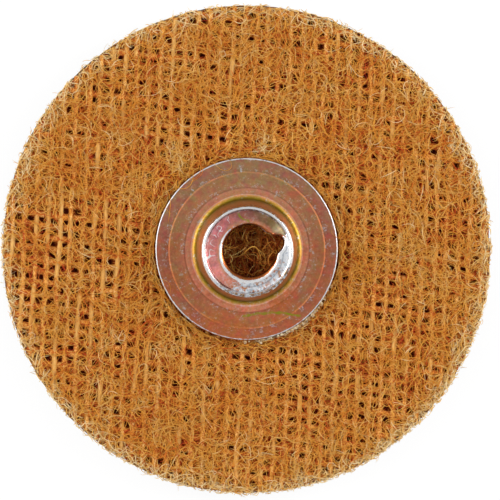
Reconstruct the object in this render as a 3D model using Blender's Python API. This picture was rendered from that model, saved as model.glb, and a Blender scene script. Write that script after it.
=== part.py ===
"""Surface conditioning disc of the 2 inch class, with a threaded steel button on its back.

The disc lies with its working face down on Z = 0. The button stands on top, centred on the Z axis.
All lengths are in metres, and all angles are in degrees unless a name says otherwise.
"""

import math
import random

import bmesh
import bpy
import mathutils

MM = 0.001

# Every piece that rests on another keeps this clearance to it.
SEAT_GAP = 0.3 * MM

# The non-woven abrasive web, cut to a round disc.
DISC_RADIUS = 25.4 * MM
WEB_THICKNESS = 3.2 * MM
WEB_EDGE_ROUND = 0.4 * MM
WEB_SIDES = 96

# The woven scrim that backs the web. Its warp yarns show as ridges, and its open cells as gaps.
SCRIM_EDGE_INSET = 0.2 * MM
SCRIM_WALL = 0.25 * MM
WARP_PITCH = 1.222 * MM
WEFT_PITCH = 1.18 * MM
WARP_BASE_WIDTH = 0.56 * MM
WARP_CREST_WIDTH = 0.3 * MM
WARP_HEIGHT = 0.25 * MM
WARP_LEAN = -2.6
OPEN_CELL_WIDTH = 0.5 * MM
OPEN_CELL_LENGTH = 0.62 * MM
OPEN_CELL_MARGIN = 0.8 * MM
OPEN_CELL_COUNT = 110
OPEN_CELL_SEED = 7

# The stamped sheet of the button: a flange, a neck, and a one-turn thread lip at the top of the neck.
SHEET = 0.85 * MM
SHEET_EDGE_BREAK = 0.07 * MM
FLANGE_RADIUS = 9.45 * MM
FOOT_FILLET = 0.5 * MM
NECK_TOP_RADIUS = 4.78 * MM
NECK_DRAFT = 0.5 * MM
NECK_STRAIGHT = 0.98 * MM
RIM_ROUND = 0.3 * MM
RIM_WIDTH = 0.42 * MM
RIM_INNER_DROP = 0.08 * MM

# The thread lip. It starts high at the notch and sinks by one lead as it runs clockwise, seen from above.
LIP_LEAD = 1.27 * MM
LIP_START_DROP = 0.15 * MM
LIP_STEP_WIDTH = 0.12 * MM
OPENING_RADIUS = 2.89 * MM
NOTCH_LEDGE = 0.13 * MM
NOTCH_HIGH_END = -6.0
NOTCH_HIGH_ROOT = 9.0
NOTCH_LOW_ROOT = 23.0
NOTCH_LOW_END = 48.0

# The bond under the flange, with a lobe of squeezed-out adhesive on one side.
BOND_THICKNESS = 0.25 * MM
BOND_INSET = 0.25 * MM
LOBE_REACH = 0.6 * MM
LOBE_CENTRE = -58.0
LOBE_HALF_SPAN = 32.0

# Mesh fineness of the turned shapes.
COARSE_STEP = 6
FINE_STEP = 3
FILLET_STEPS = 4
ROUND_STEPS = 3

# Heights of the layers, from the floor up.
SCRIM_BASE = WEB_THICKNESS + SEAT_GAP
SCRIM_TOP = SCRIM_BASE + SCRIM_WALL
BOND_BASE = SCRIM_TOP + SEAT_GAP
FLANGE_BASE = BOND_BASE + BOND_THICKNESS + SEAT_GAP

# Sizes that follow from the sheet of the button, measured from the flange's underside.
FOOT_CENTRE_HEIGHT = SHEET + FOOT_FILLET
LIP_SPACE = LIP_START_DROP + LIP_LEAD + SHEET
NECK_HEIGHT = FOOT_CENTRE_HEIGHT + NECK_STRAIGHT + LIP_SPACE
NECK_FOOT_RADIUS = NECK_TOP_RADIUS + NECK_DRAFT
MOUTH_RADIUS = NECK_FOOT_RADIUS + FOOT_FILLET

WEB_COLOUR = (0.095, 0.06, 0.036)
SCRIM_COLOUR = (0.434, 0.165, 0.034)
BOND_COLOUR = (0.50, 0.40, 0.25)
BUTTON_COLOUR = (0.42, 0.235, 0.15)


def clear_scene():
    """Removes whatever the scene holds."""
    for obj in list(bpy.data.objects):
        bpy.data.objects.remove(obj, do_unlink=True)


def plain_material(name, colour, roughness, metallic=0.0):
    """A Principled material of one colour."""
    material = bpy.data.materials.new(name)
    material.use_nodes = True
    shader = material.node_tree.nodes["Principled BSDF"]
    shader.inputs["Base Color"].default_value = (*colour, 1.0)
    shader.inputs["Roughness"].default_value = roughness
    shader.inputs["Metallic"].default_value = metallic
    return material


def object_from(bm, name, material=None):
    """Turns a bmesh into a named object of the scene, smooth where it is round."""
    bmesh.ops.recalc_face_normals(bm, faces=bm.faces)
    mesh = bpy.data.meshes.new(name)
    bm.to_mesh(mesh)
    bm.free()
    mesh.shade_smooth()
    mesh.set_sharp_from_angle(angle=math.radians(35))
    obj = bpy.data.objects.new(name, mesh)
    bpy.context.scene.collection.objects.link(obj)
    if material:
        mesh.materials.append(material)
    return obj


def as_cutter(obj):
    """Marks a helper that only shapes another piece."""
    obj.hide_render = True
    obj.display_type = "WIRE"
    return obj


def add_boolean(obj, helper, operation):
    """Adds an exact Boolean of obj with a helper."""
    modifier = obj.modifiers.new(f"{operation.lower()}_{helper.name}", "BOOLEAN")
    modifier.operation = operation
    modifier.solver = "EXACT"
    modifier.object = helper


def station_angles(fine_from, fine_to):
    """Whole degrees round the axis, closer together between the two given angles."""
    coarse = {angle % 360 for angle in range(0, 360, COARSE_STEP)}
    fine = {angle % 360 for angle in range(math.floor(fine_from), math.ceil(fine_to) + 1, FINE_STEP)}
    return sorted(coarse | fine)


def ring_object(name, section, angles, material):
    """Lofts closed (radius, height) outlines round the Z axis into one ring-shaped solid."""
    bm = bmesh.new()
    loops = []
    for angle in angles:
        turn = math.radians(angle)
        loops.append(
            [bm.verts.new((r * math.cos(turn), r * math.sin(turn), z)) for r, z in section(angle)]
        )
    for here, after in zip(loops, loops[1:] + loops[:1]):
        for i in range(len(here)):
            j = (i + 1) % len(here)
            bm.faces.new((here[i], after[i], after[j], here[j]))
    return object_from(bm, name, material)


def cylinder(name, radius, base, top, sides, material=None, edge_round=0.0):
    """A capped cylinder on the Z axis, with both rims rounded if asked."""
    bm = bmesh.new()
    bmesh.ops.create_cone(
        bm, cap_ends=True, segments=sides, radius1=radius, radius2=radius, depth=top - base
    )
    bmesh.ops.translate(bm, verts=bm.verts, vec=(0, 0, (top + base) / 2))
    if edge_round > 0:
        rims = [edge for edge in bm.edges if abs(edge.verts[0].co.z - edge.verts[1].co.z) < edge_round]
        bmesh.ops.bevel(
            bm, geom=rims, offset=edge_round, segments=2, profile=0.5, affect="EDGES", clamp_overlap=True
        )
    return object_from(bm, name, material)


def prism(bm, outline, start, end, along_y):
    """Adds a closed prism: a convex outline swept along Y, or along Z if along_y is False."""

    def point(a, b, t):
        return (a, t, b) if along_y else (a, b, t)

    near = [bm.verts.new(point(a, b, start)) for a, b in outline]
    far = [bm.verts.new(point(a, b, end)) for a, b in outline]
    bm.faces.new(near)
    bm.faces.new(list(reversed(far)))
    for i in range(len(outline)):
        j = (i + 1) % len(outline)
        bm.faces.new((near[j], near[i], far[i], far[j]))


def smooth_ramp(value):
    """0 below 0, 1 above 1, and a smooth rise between them."""
    t = min(max(value, 0.0), 1.0)
    return t * t * (3 - 2 * t)


def degrees_past(angle, start):
    """How far an angle lies past a start, from 0 to 360 degrees."""
    return (angle - start) % 360.0


def notch_share(angle):
    """1 at the root of the notch, 0 along the lip, and between them on the notch's slanted edges."""
    past = degrees_past(angle, NOTCH_HIGH_END)
    rising = past / (NOTCH_HIGH_ROOT - NOTCH_HIGH_END)
    falling = (NOTCH_LOW_END - NOTCH_HIGH_END - past) / (NOTCH_LOW_END - NOTCH_LOW_ROOT)
    return min(max(min(rising, falling), 0.0), 1.0)


def lip_height(angle):
    """Height of the lip's upper face: one turn of a helix, with a steep climb inside the notch."""
    highest = NECK_HEIGHT - LIP_START_DROP
    notch_span = NOTCH_LOW_END - NOTCH_HIGH_END
    past = degrees_past(angle, NOTCH_HIGH_END)
    if past < notch_span:
        return highest - LIP_LEAD * smooth_ramp(past / notch_span)
    return highest - LIP_LEAD * (360.0 - past) / (360.0 - notch_span)


def inner_wall_radius(height):
    """Radius of the neck's inner wall, which is one sheet inside the drafted outer wall."""
    rise = NECK_HEIGHT - FOOT_CENTRE_HEIGHT
    outer = NECK_TOP_RADIUS + NECK_DRAFT * min((NECK_HEIGHT - height) / rise, 1.0)
    return outer - SHEET


def arc(centre_r, centre_z, radius, start, end, steps):
    """Points of an arc in the (radius, height) plane, ends included."""
    points = []
    for i in range(steps + 1):
        turn = math.radians(start + (end - start) * i / steps)
        points.append((centre_r + radius * math.cos(turn), centre_z + radius * math.sin(turn)))
    return points


def button_section(angle):
    """Outline of the stamped sheet where the half-plane at this angle cuts it."""
    edge = SHEET_EDGE_BREAK
    lip_top = lip_height(angle)
    lip_base = lip_top - SHEET
    wall_at_lip = inner_wall_radius(lip_base)
    opening = OPENING_RADIUS + (wall_at_lip - NOTCH_LEDGE - OPENING_RADIUS) * notch_share(angle)
    lip_edge = SHEET_EDGE_BREAK / 2

    flange = [
        (FLANGE_RADIUS - edge, 0.0),
        (FLANGE_RADIUS, edge),
        (FLANGE_RADIUS, SHEET - edge),
        (FLANGE_RADIUS - edge, SHEET),
    ]
    foot = arc(MOUTH_RADIUS, FOOT_CENTRE_HEIGHT, FOOT_FILLET, 270, 180, FILLET_STEPS)
    rim = arc(NECK_TOP_RADIUS - RIM_ROUND, NECK_HEIGHT - RIM_ROUND, RIM_ROUND, 0, 90, ROUND_STEPS)
    lip = [
        (NECK_TOP_RADIUS - RIM_WIDTH, NECK_HEIGHT - RIM_INNER_DROP),
        (NECK_TOP_RADIUS - RIM_WIDTH - LIP_STEP_WIDTH, lip_top),
        (opening + lip_edge, lip_top),
        (opening, lip_top - lip_edge),
        (opening, lip_base + lip_edge),
        (opening + lip_edge, lip_base),
        (wall_at_lip, lip_base),
    ]
    flare = arc(MOUTH_RADIUS, FOOT_CENTRE_HEIGHT, FOOT_FILLET + SHEET, 180, 270, FILLET_STEPS)
    outline = flange + foot + rim + lip + flare
    return [(radius, FLANGE_BASE + height) for radius, height in outline]


def bond_section(angle):
    """Outline of the adhesive washer, which swells outwards along the squeezed-out lobe."""
    from_centre = (angle - LOBE_CENTRE + 180.0) % 360.0 - 180.0
    swell = smooth_ramp(1.0 - abs(from_centre) / LOBE_HALF_SPAN)
    inner = MOUTH_RADIUS + BOND_INSET
    outer = FLANGE_RADIUS - BOND_INSET + LOBE_REACH * swell
    top = BOND_BASE + BOND_THICKNESS
    return [(inner, BOND_BASE), (outer, BOND_BASE), (outer, top), (inner, top)]


def scrim_radius():
    """The scrim is cut a little inside the web's edge."""
    return DISC_RADIUS - SCRIM_EDGE_INSET


def warp_positions():
    """Places of the warp yarns across the scrim."""
    last = int((scrim_radius() - WARP_BASE_WIDTH) / WARP_PITCH)
    return [i * WARP_PITCH for i in range(-last, last + 1)]


def lean(bm):
    """Turns weave geometry from the disc's Y axis to the direction in which the warp runs."""
    turn = mathutils.Matrix.Rotation(math.radians(WARP_LEAN), 3, "Z")
    bmesh.ops.rotate(bm, verts=bm.verts, cent=(0, 0, 0), matrix=turn)


def warp_ridges():
    """Raised warp yarns, pressed flat where the button sits. Each ridge starts inside the scrim's wall."""
    base = SCRIM_BASE + SCRIM_WALL / 2
    crest = SCRIM_TOP + WARP_HEIGHT
    bm = bmesh.new()
    for x in warp_positions():
        outline = [
            (x - WARP_BASE_WIDTH / 2, base),
            (x + WARP_BASE_WIDTH / 2, base),
            (x + WARP_CREST_WIDTH / 2, crest),
            (x - WARP_CREST_WIDTH / 2, crest),
        ]
        reach = math.sqrt(scrim_radius() ** 2 - (abs(x) + WARP_BASE_WIDTH / 2) ** 2)
        reach *= math.cos(math.pi / WEB_SIDES)
        prism(bm, outline, -reach, reach, along_y=True)
    lean(bm)
    ridges = as_cutter(object_from(bm, "warp_ridges"))
    seat_radius = FLANGE_RADIUS + LOBE_REACH + SEAT_GAP
    seat = cylinder("button_seat", seat_radius, SCRIM_BASE - SEAT_GAP, crest + SEAT_GAP, WEB_SIDES)
    add_boolean(ridges, as_cutter(seat), "DIFFERENCE")
    return ridges


def open_cells():
    """Cutters for the cells of the weave that stay open, picked at random from all that fit."""
    inner = FLANGE_RADIUS + LOBE_REACH + OPEN_CELL_MARGIN
    outer = scrim_radius() - OPEN_CELL_MARGIN
    rows = int(scrim_radius() / WEFT_PITCH)
    cells = []
    for x in warp_positions():
        for row in range(-rows, rows + 1):
            centre = (x + WARP_PITCH / 2, row * WEFT_PITCH)
            if inner < math.hypot(*centre) < outer:
                cells.append(centre)
    chosen = random.Random(OPEN_CELL_SEED).sample(cells, min(OPEN_CELL_COUNT, len(cells)))
    bm = bmesh.new()
    for x, y in chosen:
        half_x, half_y = OPEN_CELL_WIDTH / 2, OPEN_CELL_LENGTH / 2
        outline = [
            (x - half_x, y - half_y),
            (x + half_x, y - half_y),
            (x + half_x, y + half_y),
            (x - half_x, y + half_y),
        ]
        prism(bm, outline, SCRIM_BASE - SEAT_GAP, SCRIM_TOP + SEAT_GAP, along_y=False)
    lean(bm)
    return as_cutter(object_from(bm, "open_cells"))


def make_web():
    """The non-woven web, one piece with its flat working face down."""
    material = plain_material("abrasive_web", WEB_COLOUR, roughness=0.9)
    return cylinder("abrasive_web", DISC_RADIUS, 0.0, WEB_THICKNESS, WEB_SIDES, material, WEB_EDGE_ROUND)


def make_scrim():
    """The woven scrim: a thin round wall with warp ridges and open cells."""
    material = plain_material("scrim_cloth", SCRIM_COLOUR, roughness=0.75)
    scrim = cylinder("scrim_cloth", scrim_radius(), SCRIM_BASE, SCRIM_TOP, WEB_SIDES, material)
    add_boolean(scrim, warp_ridges(), "UNION")
    add_boolean(scrim, open_cells(), "DIFFERENCE")
    return scrim


def make_bond():
    """The adhesive between the scrim and the flange."""
    material = plain_material("button_adhesive", BOND_COLOUR, roughness=0.55)
    angles = station_angles(LOBE_CENTRE - LOBE_HALF_SPAN, LOBE_CENTRE + LOBE_HALF_SPAN)
    return ring_object("button_adhesive", bond_section, angles, material)


def make_button():
    """The stamped steel button, one piece."""
    material = plain_material("threaded_button", BUTTON_COLOUR, roughness=0.35, metallic=0.9)
    angles = station_angles(NOTCH_HIGH_END, NOTCH_LOW_END)
    return ring_object("threaded_button", button_section, angles, material)


def main():
    """Builds the disc from the floor up."""
    clear_scene()
    make_web()
    make_scrim()
    make_bond()
    make_button()


main()
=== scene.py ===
"""Portrait of a surface conditioning disc, seen from its button side.

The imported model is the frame. Each piece made here rides on its one body and replaces the plain solid
that it stands for. Sizes are in millimetres, and meshes are in metres, in the frame's own axes.
"""

import functools
import itertools
import logging
import math
from dataclasses import dataclass, field
from enum import Enum
from typing import Callable, Mapping, Sequence

import bmesh
import bpy
import mathutils
import numpy as np
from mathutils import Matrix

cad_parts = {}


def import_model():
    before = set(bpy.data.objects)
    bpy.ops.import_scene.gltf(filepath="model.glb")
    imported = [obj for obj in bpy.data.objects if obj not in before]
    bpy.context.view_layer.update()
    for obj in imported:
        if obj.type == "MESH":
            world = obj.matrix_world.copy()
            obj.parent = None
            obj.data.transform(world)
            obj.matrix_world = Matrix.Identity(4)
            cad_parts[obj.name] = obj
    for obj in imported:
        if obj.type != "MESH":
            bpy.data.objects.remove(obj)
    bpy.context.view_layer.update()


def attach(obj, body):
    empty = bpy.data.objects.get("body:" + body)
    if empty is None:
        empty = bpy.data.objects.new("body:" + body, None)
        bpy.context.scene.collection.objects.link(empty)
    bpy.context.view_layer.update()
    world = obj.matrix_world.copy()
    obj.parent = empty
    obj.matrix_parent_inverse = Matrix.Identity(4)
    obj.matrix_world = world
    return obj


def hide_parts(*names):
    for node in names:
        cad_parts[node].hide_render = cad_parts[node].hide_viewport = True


Array = np.ndarray
Rng = np.random.Generator
Object = bpy.types.Object
Material = bpy.types.Material
Socket = bpy.types.NodeSocket
Adder = Callable[..., Socket]
Pair = tuple[float, float]
Stops = tuple[tuple[float, str], ...]

LOG = logging.getLogger("conditioning_disc")
MM = 0.001
BODY = "root"


# Colour, nodes and materials


def linear_rgb(hex_colour: str) -> tuple[float, float, float, float]:
    """Turns an sRGB hex colour into linear light.

    Formula: a channel up to 0.04045 is divided by 12.92, and any other is (c + 0.055) / 1.055 to the
    power 2.4.

    Args:
        hex_colour: Six hex digits after a hash sign.

    Returns:
        Linear red, green and blue, and an alpha of 1.
    """
    channels = [int(hex_colour[i : i + 2], 16) / 255 for i in (1, 3, 5)]
    red, green, blue = (c / 12.92 if c <= 0.04045 else ((c + 0.055) / 1.055) ** 2.4 for c in channels)
    return red, green, blue, 1.0


def fill(node: bpy.types.Node, inputs: Mapping[str | int, object] | Sequence[object]) -> None:
    """Links and sets a node's inputs.

    Args:
        node: The node.
        inputs: Sockets to link, hex colours or constants, by the input's name or number or in order.
    """
    for key, value in inputs.items() if isinstance(inputs, Mapping) else enumerate(inputs):
        if isinstance(value, Socket):
            node.id_data.links.new(value, node.inputs[key])
        else:
            node.inputs[key].default_value = linear_rgb(value) if isinstance(value, str) else value


def add_node(
    tree: bpy.types.NodeTree,
    kind: str,
    inputs: Mapping[str | int, object] | Sequence[object] = (),
    out: str | int = 0,
    **settings: object,
) -> Socket:
    """Adds one node with its settings and links.

    Args:
        tree: Node tree that gets the node.
        kind: Blender's name for the node type, without its first word.
        inputs: What goes into the node, as for fill.
        out: Name or number of the output to give back.
        settings: Properties to set. "stops" fills a colour ramp with (place, hex colour) pairs.

    Returns:
        That output of the new node.
    """
    node = tree.nodes.new("ShaderNode" + kind)
    stops = settings.pop("stops", ())
    for place, _ in stops[2:]:
        node.color_ramp.elements.new(place)
    for number, (place, colour) in enumerate(stops):
        node.color_ramp.elements[number].position = place
        node.color_ramp.elements[number].color = linear_rgb(colour)
    for key, value in settings.items():
        setattr(node, key, value)
    fill(node, inputs)
    return node.outputs[out]


def start_material(name: str) -> tuple[Material, Adder, bpy.types.Node]:
    """Makes an empty node material.

    Args:
        name: Name of the material.

    Returns:
        The material, add_node for its node tree, and its Principled shader.
    """
    material = bpy.data.materials.new(name)
    material.use_nodes = True
    tree = material.node_tree
    return material, functools.partial(add_node, tree), tree.nodes["Principled BSDF"]


def curl_lines(node: Adder, spot: Socket, per_mm: float, half_width: float, layers: int) -> Socket:
    """Draws a tangle of thin curls, as fibres look that lie matted on each other.

    Formula: in each layer, a line runs where a shifted noise is within the half width of 0.5. Its
    strength is 0.5 plus half the layer's share of all layers, and the strongest line shows.

    Args:
        node: Adds a node to the material.
        spot: Socket with the place, in metres.
        per_mm: Features of the noise to the millimetre.
        half_width: Half width of a line, as a change of the noise.
        layers: Number of layers.

    Returns:
        Socket that is 0 between the curls and up to 1 on them.
    """
    most: Socket | float = 0.0
    for layer in range(layers):
        moved = node("VectorMath", (spot, (0.031 * layer, 0.017 * layer, 0.0)), operation="ADD")
        noise = node("TexNoise", {"Vector": moved, "Scale": per_mm / MM, "Detail": 0.6})
        size = node("Math", (node("Math", (noise, 0.5), operation="SUBTRACT"),), operation="ABSOLUTE")
        span = (size, half_width * 1.4, half_width * 0.4, 0.0, 0.5 + 0.5 * (layer + 1) / layers)
        line = node("MapRange", span, interpolation_type="SMOOTHSTEP")
        most = node("Math", (most, line), operation="MAXIMUM")
    return most


@dataclass(frozen=True)
class FibreFinish:
    """Nylon fibre under a cured resin size: satin, with a colour of its own for every fibre.

    The attribute "tint" picks the fibre's colour from the ramp, and a noise along the fibre moves it.
    """

    name: str
    stops: Stops
    roughness: float = 0.62
    specular: float = 0.22
    noise_per_mm: float = 1.1
    noise_share: float = 0.35

    def material(self) -> Material:
        """Builds the fibre material."""
        material, node, shader = start_material(self.name)
        tint = node("Attribute", out="Fac", attribute_name="tint")
        place = node("TexCoord", out="Object")
        noise = node("TexNoise", {"Vector": place, "Scale": self.noise_per_mm / MM, "Detail": 2.0})
        drift = node("Math", (noise, self.noise_share, -self.noise_share / 2), operation="MULTIPLY_ADD")
        pick = node("Math", (tint, drift), operation="ADD")
        colour = node("ValToRGB", (pick,), stops=self.stops)
        fill(shader, {"Base Color": colour, "Roughness": self.roughness})
        fill(shader, {"Specular IOR Level": self.specular})
        return material


@dataclass(frozen=True)
class YarnFinish:
    """Spun polyester yarn under resin: matt, with fine filaments along it and darker resin between them.

    The attributes "along" and "around" are the place on the yarn in millimetres, so the filaments follow
    the yarn over and under its neighbours. Where the attribute "fuzz" is 1, matted fibres cover it.
    """

    name: str
    stops: Stops
    mat_stops: Stops
    filament_mm: float = 0.07
    streak_mm: float = 1.3
    bump_mm: float = 0.03
    roughness: float = 0.75
    specular: float = 0.25

    def material(self) -> Material:
        """Builds the yarn material."""
        material, node, shader = start_material(self.name)
        along, around, tint, fuzz = (
            node("Attribute", out="Fac", attribute_name=key)
            for key in ("along", "around", "tint", "fuzz")
        )
        stretched = node("Math", (along, self.streak_mm), operation="DIVIDE")
        packed = node("Math", (around, self.filament_mm), operation="DIVIDE")
        place = node("CombineXYZ", (stretched, packed, tint))
        noise = node("TexNoise", {"Vector": place, "Scale": 1.0, "Detail": 3.0, "Roughness": 0.6})
        drift = node("Math", (noise, 0.9, -0.45), operation="MULTIPLY_ADD")
        yarn = node("ValToRGB", (node("Math", (tint, drift), operation="ADD"),), stops=self.stops)
        spot = node("TexCoord", out="Object")
        shade = node("TexNoise", {"Vector": spot, "Scale": 1.2 / MM, "Detail": 3.0})
        lit = node("Math", (curl_lines(node, spot, 1.9, 0.028, 3), 0.6, -0.25), operation="MULTIPLY_ADD")
        lit = node("Math", (shade, 1.1, lit), operation="MULTIPLY_ADD")
        mat = node("ValToRGB", (lit,), stops=self.mat_stops)
        colour = node("Mix", {0: fuzz, 6: yarn, 7: mat}, 2, data_type="RGBA")
        bump = node("Bump", {"Strength": 0.7, "Distance": self.bump_mm * MM, "Height": noise})
        fill(shader, {"Base Color": colour, "Normal": bump, "Roughness": self.roughness})
        fill(shader, {"Specular IOR Level": self.specular})
        return material


@dataclass(frozen=True)
class LoadedWebFinish:
    """Non-woven web loaded with mineral grain: dark and grainy below, red-brown curly fibre at the scrim.

    The attribute "pit" is 1 in the deep gaps between the yarns and 0 elsewhere. Its near-black colour
    there is painted shade.
    """

    name: str = "grain_loaded_nonwoven_web"
    resin: str = "#4E3A2C"
    deep_resin: str = "#2C1B12"
    ground: str = "#8C2C10"
    curl: str = "#D88630"
    # Near-black colour of the deep gaps: painted shade.
    pit: str = "#52160C"
    grain: str = "#221C19"
    grain_mm: float = 0.16
    scrim_level_mm: float = 3.0
    curl_per_mm: float = 1.7
    roughness: float = 0.85
    specular: float = 0.12

    def material(self) -> Material:
        """Builds the web material."""
        material, node, shader = start_material(self.name)
        spot = node("TexCoord", out="Object")
        patches = node("TexNoise", {"Vector": spot, "Scale": 1.4 / MM, "Detail": 4.0})
        resin = node("Mix", {0: patches, 6: self.deep_resin, 7: self.resin}, 2, data_type="RGBA")
        grains = node("TexVoronoi", {"Vector": spot, "Scale": 1 / (self.grain_mm * MM)}, "Distance")
        speck = node("MapRange", (grains, 0.34, 0.26))
        grainy = node("Mix", {0: speck, 6: resin, 7: self.grain}, 2, data_type="RGBA")
        lines = curl_lines(node, spot, self.curl_per_mm, 0.03, 3)
        curls = node("Mix", {0: lines, 6: self.ground, 7: self.curl}, 2, data_type="RGBA")
        pit = node("Attribute", out="Fac", attribute_name="pit")
        # The deep gaps take the near-black colour: painted shade.
        pitted = node("Mix", {0: pit, 6: curls, 7: self.pit}, 2, data_type="RGBA")
        height = node("SeparateXYZ", (spot,), "Z")
        span = ((self.scrim_level_mm - 0.6) * MM, (self.scrim_level_mm + 0.1) * MM)
        rise = node("MapRange", (height, *span), interpolation_type="SMOOTHSTEP")
        colour = node("Mix", {0: rise, 6: grainy, 7: pitted}, 2, data_type="RGBA")
        bump = node("Bump", {"Strength": 0.8, "Distance": 0.08 * MM, "Height": speck})
        fill(shader, {"Base Color": colour, "Normal": bump, "Roughness": self.roughness})
        fill(shader, {"Specular IOR Level": self.specular})
        return material


@dataclass(frozen=True)
class CuredAdhesiveFinish:
    """Cured beige epoxy: a dull, lumpy crust, whiter where it is thick, with fibres drawn into it."""

    name: str = "cured_epoxy_crust"
    pale: str = "#D2C2A0"
    stained: str = "#A8793C"
    lump_mm: float = 0.32
    roughness: float = 0.5

    def material(self) -> Material:
        """Builds the adhesive material."""
        material, node, shader = start_material(self.name)
        place = node("TexCoord", out="Object")
        lumps = node("TexNoise", {"Vector": place, "Scale": 1 / (self.lump_mm * MM), "Detail": 5.0})
        spread = node("MapRange", (lumps, 0.4, 0.62))
        colour = node("Mix", {0: spread, 6: self.stained, 7: self.pale}, 2, data_type="RGBA")
        bump = node("Bump", {"Strength": 0.6, "Distance": 0.08 * MM, "Height": lumps})
        fill(shader, {"Base Color": colour, "Normal": bump, "Roughness": self.roughness})
        return material


# Noise and surfaces


def lattice_hash(cells: Array, seed: int) -> Array:
    """Gives each whole-number lattice point a fixed value from 0 to 1.

    Formula: start from the seed, and for each coordinate xor in that coordinate times an odd number,
    then mix the bits by a shift, a product and a shift.

    Args:
        cells: Whole numbers, with the coordinates on the last axis.
        seed: Picks one of many such fields.

    Returns:
        Values with the last axis gone.
    """
    odd_numbers = (0x85EBCA6B, 0xC2B2AE35, 0x27D4EB2F)
    mixed = np.full(cells.shape[:-1], (seed * 0x9E3779B1) & 0xFFFFFFFF, dtype=np.uint32)
    for axis in range(cells.shape[-1]):
        mixed ^= cells[..., axis].astype(np.int64).astype(np.uint32) * np.uint32(odd_numbers[axis])
        mixed ^= mixed >> np.uint32(15)
        mixed *= np.uint32(0x2C1B3C6D)
        mixed ^= mixed >> np.uint32(12)
    return mixed / 2.0**32


def smooth_noise(points: Array, seed: int) -> Array:
    """Smooth value noise with features about one unit across.

    Formula: the hashes of the corners of the lattice cell round a point, averaged with the weights
    3 t squared minus 2 t cubed along each axis.

    Args:
        points: Coordinates, in units of the feature size, on the last axis.
        seed: Picks one of many such fields.

    Returns:
        Values from 0 to 1, with the last axis gone.
    """
    base = np.floor(points)
    part = points - base
    weight = part * part * (3 - 2 * part)
    total = np.zeros(points.shape[:-1])
    for corner in itertools.product((0, 1), repeat=points.shape[-1]):
        share = np.prod(np.where(np.array(corner), weight, 1 - weight), axis=-1)
        total += share * lattice_hash(base.astype(np.int64) + np.array(corner), seed)
    return total


def smoothstep(low: float, high: float, value: Array) -> Array:
    """Rises from 0 at low to 1 at high: 3 t squared minus 2 t cubed, with t the clamped share."""
    t = np.clip((value - low) / (high - low), 0.0, 1.0)
    return t * t * (3 - 2 * t)


def polar(radius: Array, turn: Array) -> Array:
    """Points (radius cos turn, radius sin turn), on a new last axis."""
    return np.stack([radius * np.cos(turn), radius * np.sin(turn)], axis=-1)


def lifted(flat: Array, height: Array) -> Array:
    """Gives places in the plane their heights, as a third coordinate."""
    return np.concatenate([flat, height[..., None]], axis=-1)


def pulled_in(flat: Array, limit: float | Array) -> Array:
    """Moves places in the plane that are farther out than a limit straight in to it."""
    reach = np.linalg.norm(flat, axis=-1, keepdims=True)
    return flat * np.minimum(1.0, limit / np.maximum(reach, 1e-6))


def grid_quads(rows: int, columns: int, close_rows: bool) -> Array:
    """Quads of a grid of points whose columns always close on themselves.

    Formula: the quad at (i, j) joins (i, j), (i, j + 1), (i + 1, j + 1) and (i + 1, j), where j + 1
    wraps round, and i + 1 wraps round too if the rows close.

    Args:
        rows: Number of rows of points.
        columns: Number of points in a row.
        close_rows: Whether the last row joins the first.

    Returns:
        An array of point numbers, four to a quad.
    """
    index = np.arange(rows * columns).reshape(rows, columns)
    here = index if close_rows else index[:-1]
    after = np.roll(index, -1, axis=0) if close_rows else index[1:]
    quads = [here, np.roll(here, -1, axis=1), np.roll(after, -1, axis=1), after]
    return np.stack(quads, axis=-1).reshape(-1, 4)


def mesh_object(
    name: str,
    points: Array,
    faces: Sequence[Array],
    material: Material,
    values: Mapping[str, Array] | None = None,
) -> Object:
    """Puts whole arrays into a smooth mesh, and links an object with it.

    Args:
        name: Name of the object and its mesh.
        points: Points in millimetres, three numbers to a row.
        faces: Arrays of point numbers. All faces in one array have the same number of corners.
        material: Material of the whole mesh.
        values: One number for each point, by attribute name.

    Returns:
        The new object.
    """
    mesh = bpy.data.meshes.new(name)
    mesh.vertices.add(len(points))
    mesh.vertices.foreach_set("co", (points * MM).astype(np.float32).ravel())
    corners = np.concatenate([part.ravel() for part in faces]).astype(np.int32)
    counts = np.concatenate([np.full(len(part), part.shape[1]) for part in faces])
    starts = np.concatenate([[0], np.cumsum(counts)[:-1]]).astype(np.int32)
    mesh.loops.add(len(corners))
    mesh.loops.foreach_set("vertex_index", corners)
    mesh.polygons.add(len(counts))
    mesh.polygons.foreach_set("loop_start", starts)
    mesh.update(calc_edges=True)
    mesh.shade_smooth()
    for key, numbers in (values or {}).items():
        attribute = mesh.attributes.new(key, "FLOAT", "POINT")
        attribute.data.foreach_set("value", numbers.astype(np.float32).ravel())
    mesh.materials.append(material)
    mesh.validate()
    obj = bpy.data.objects.new(name, mesh)
    bpy.context.scene.collection.objects.link(obj)
    return obj


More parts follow.
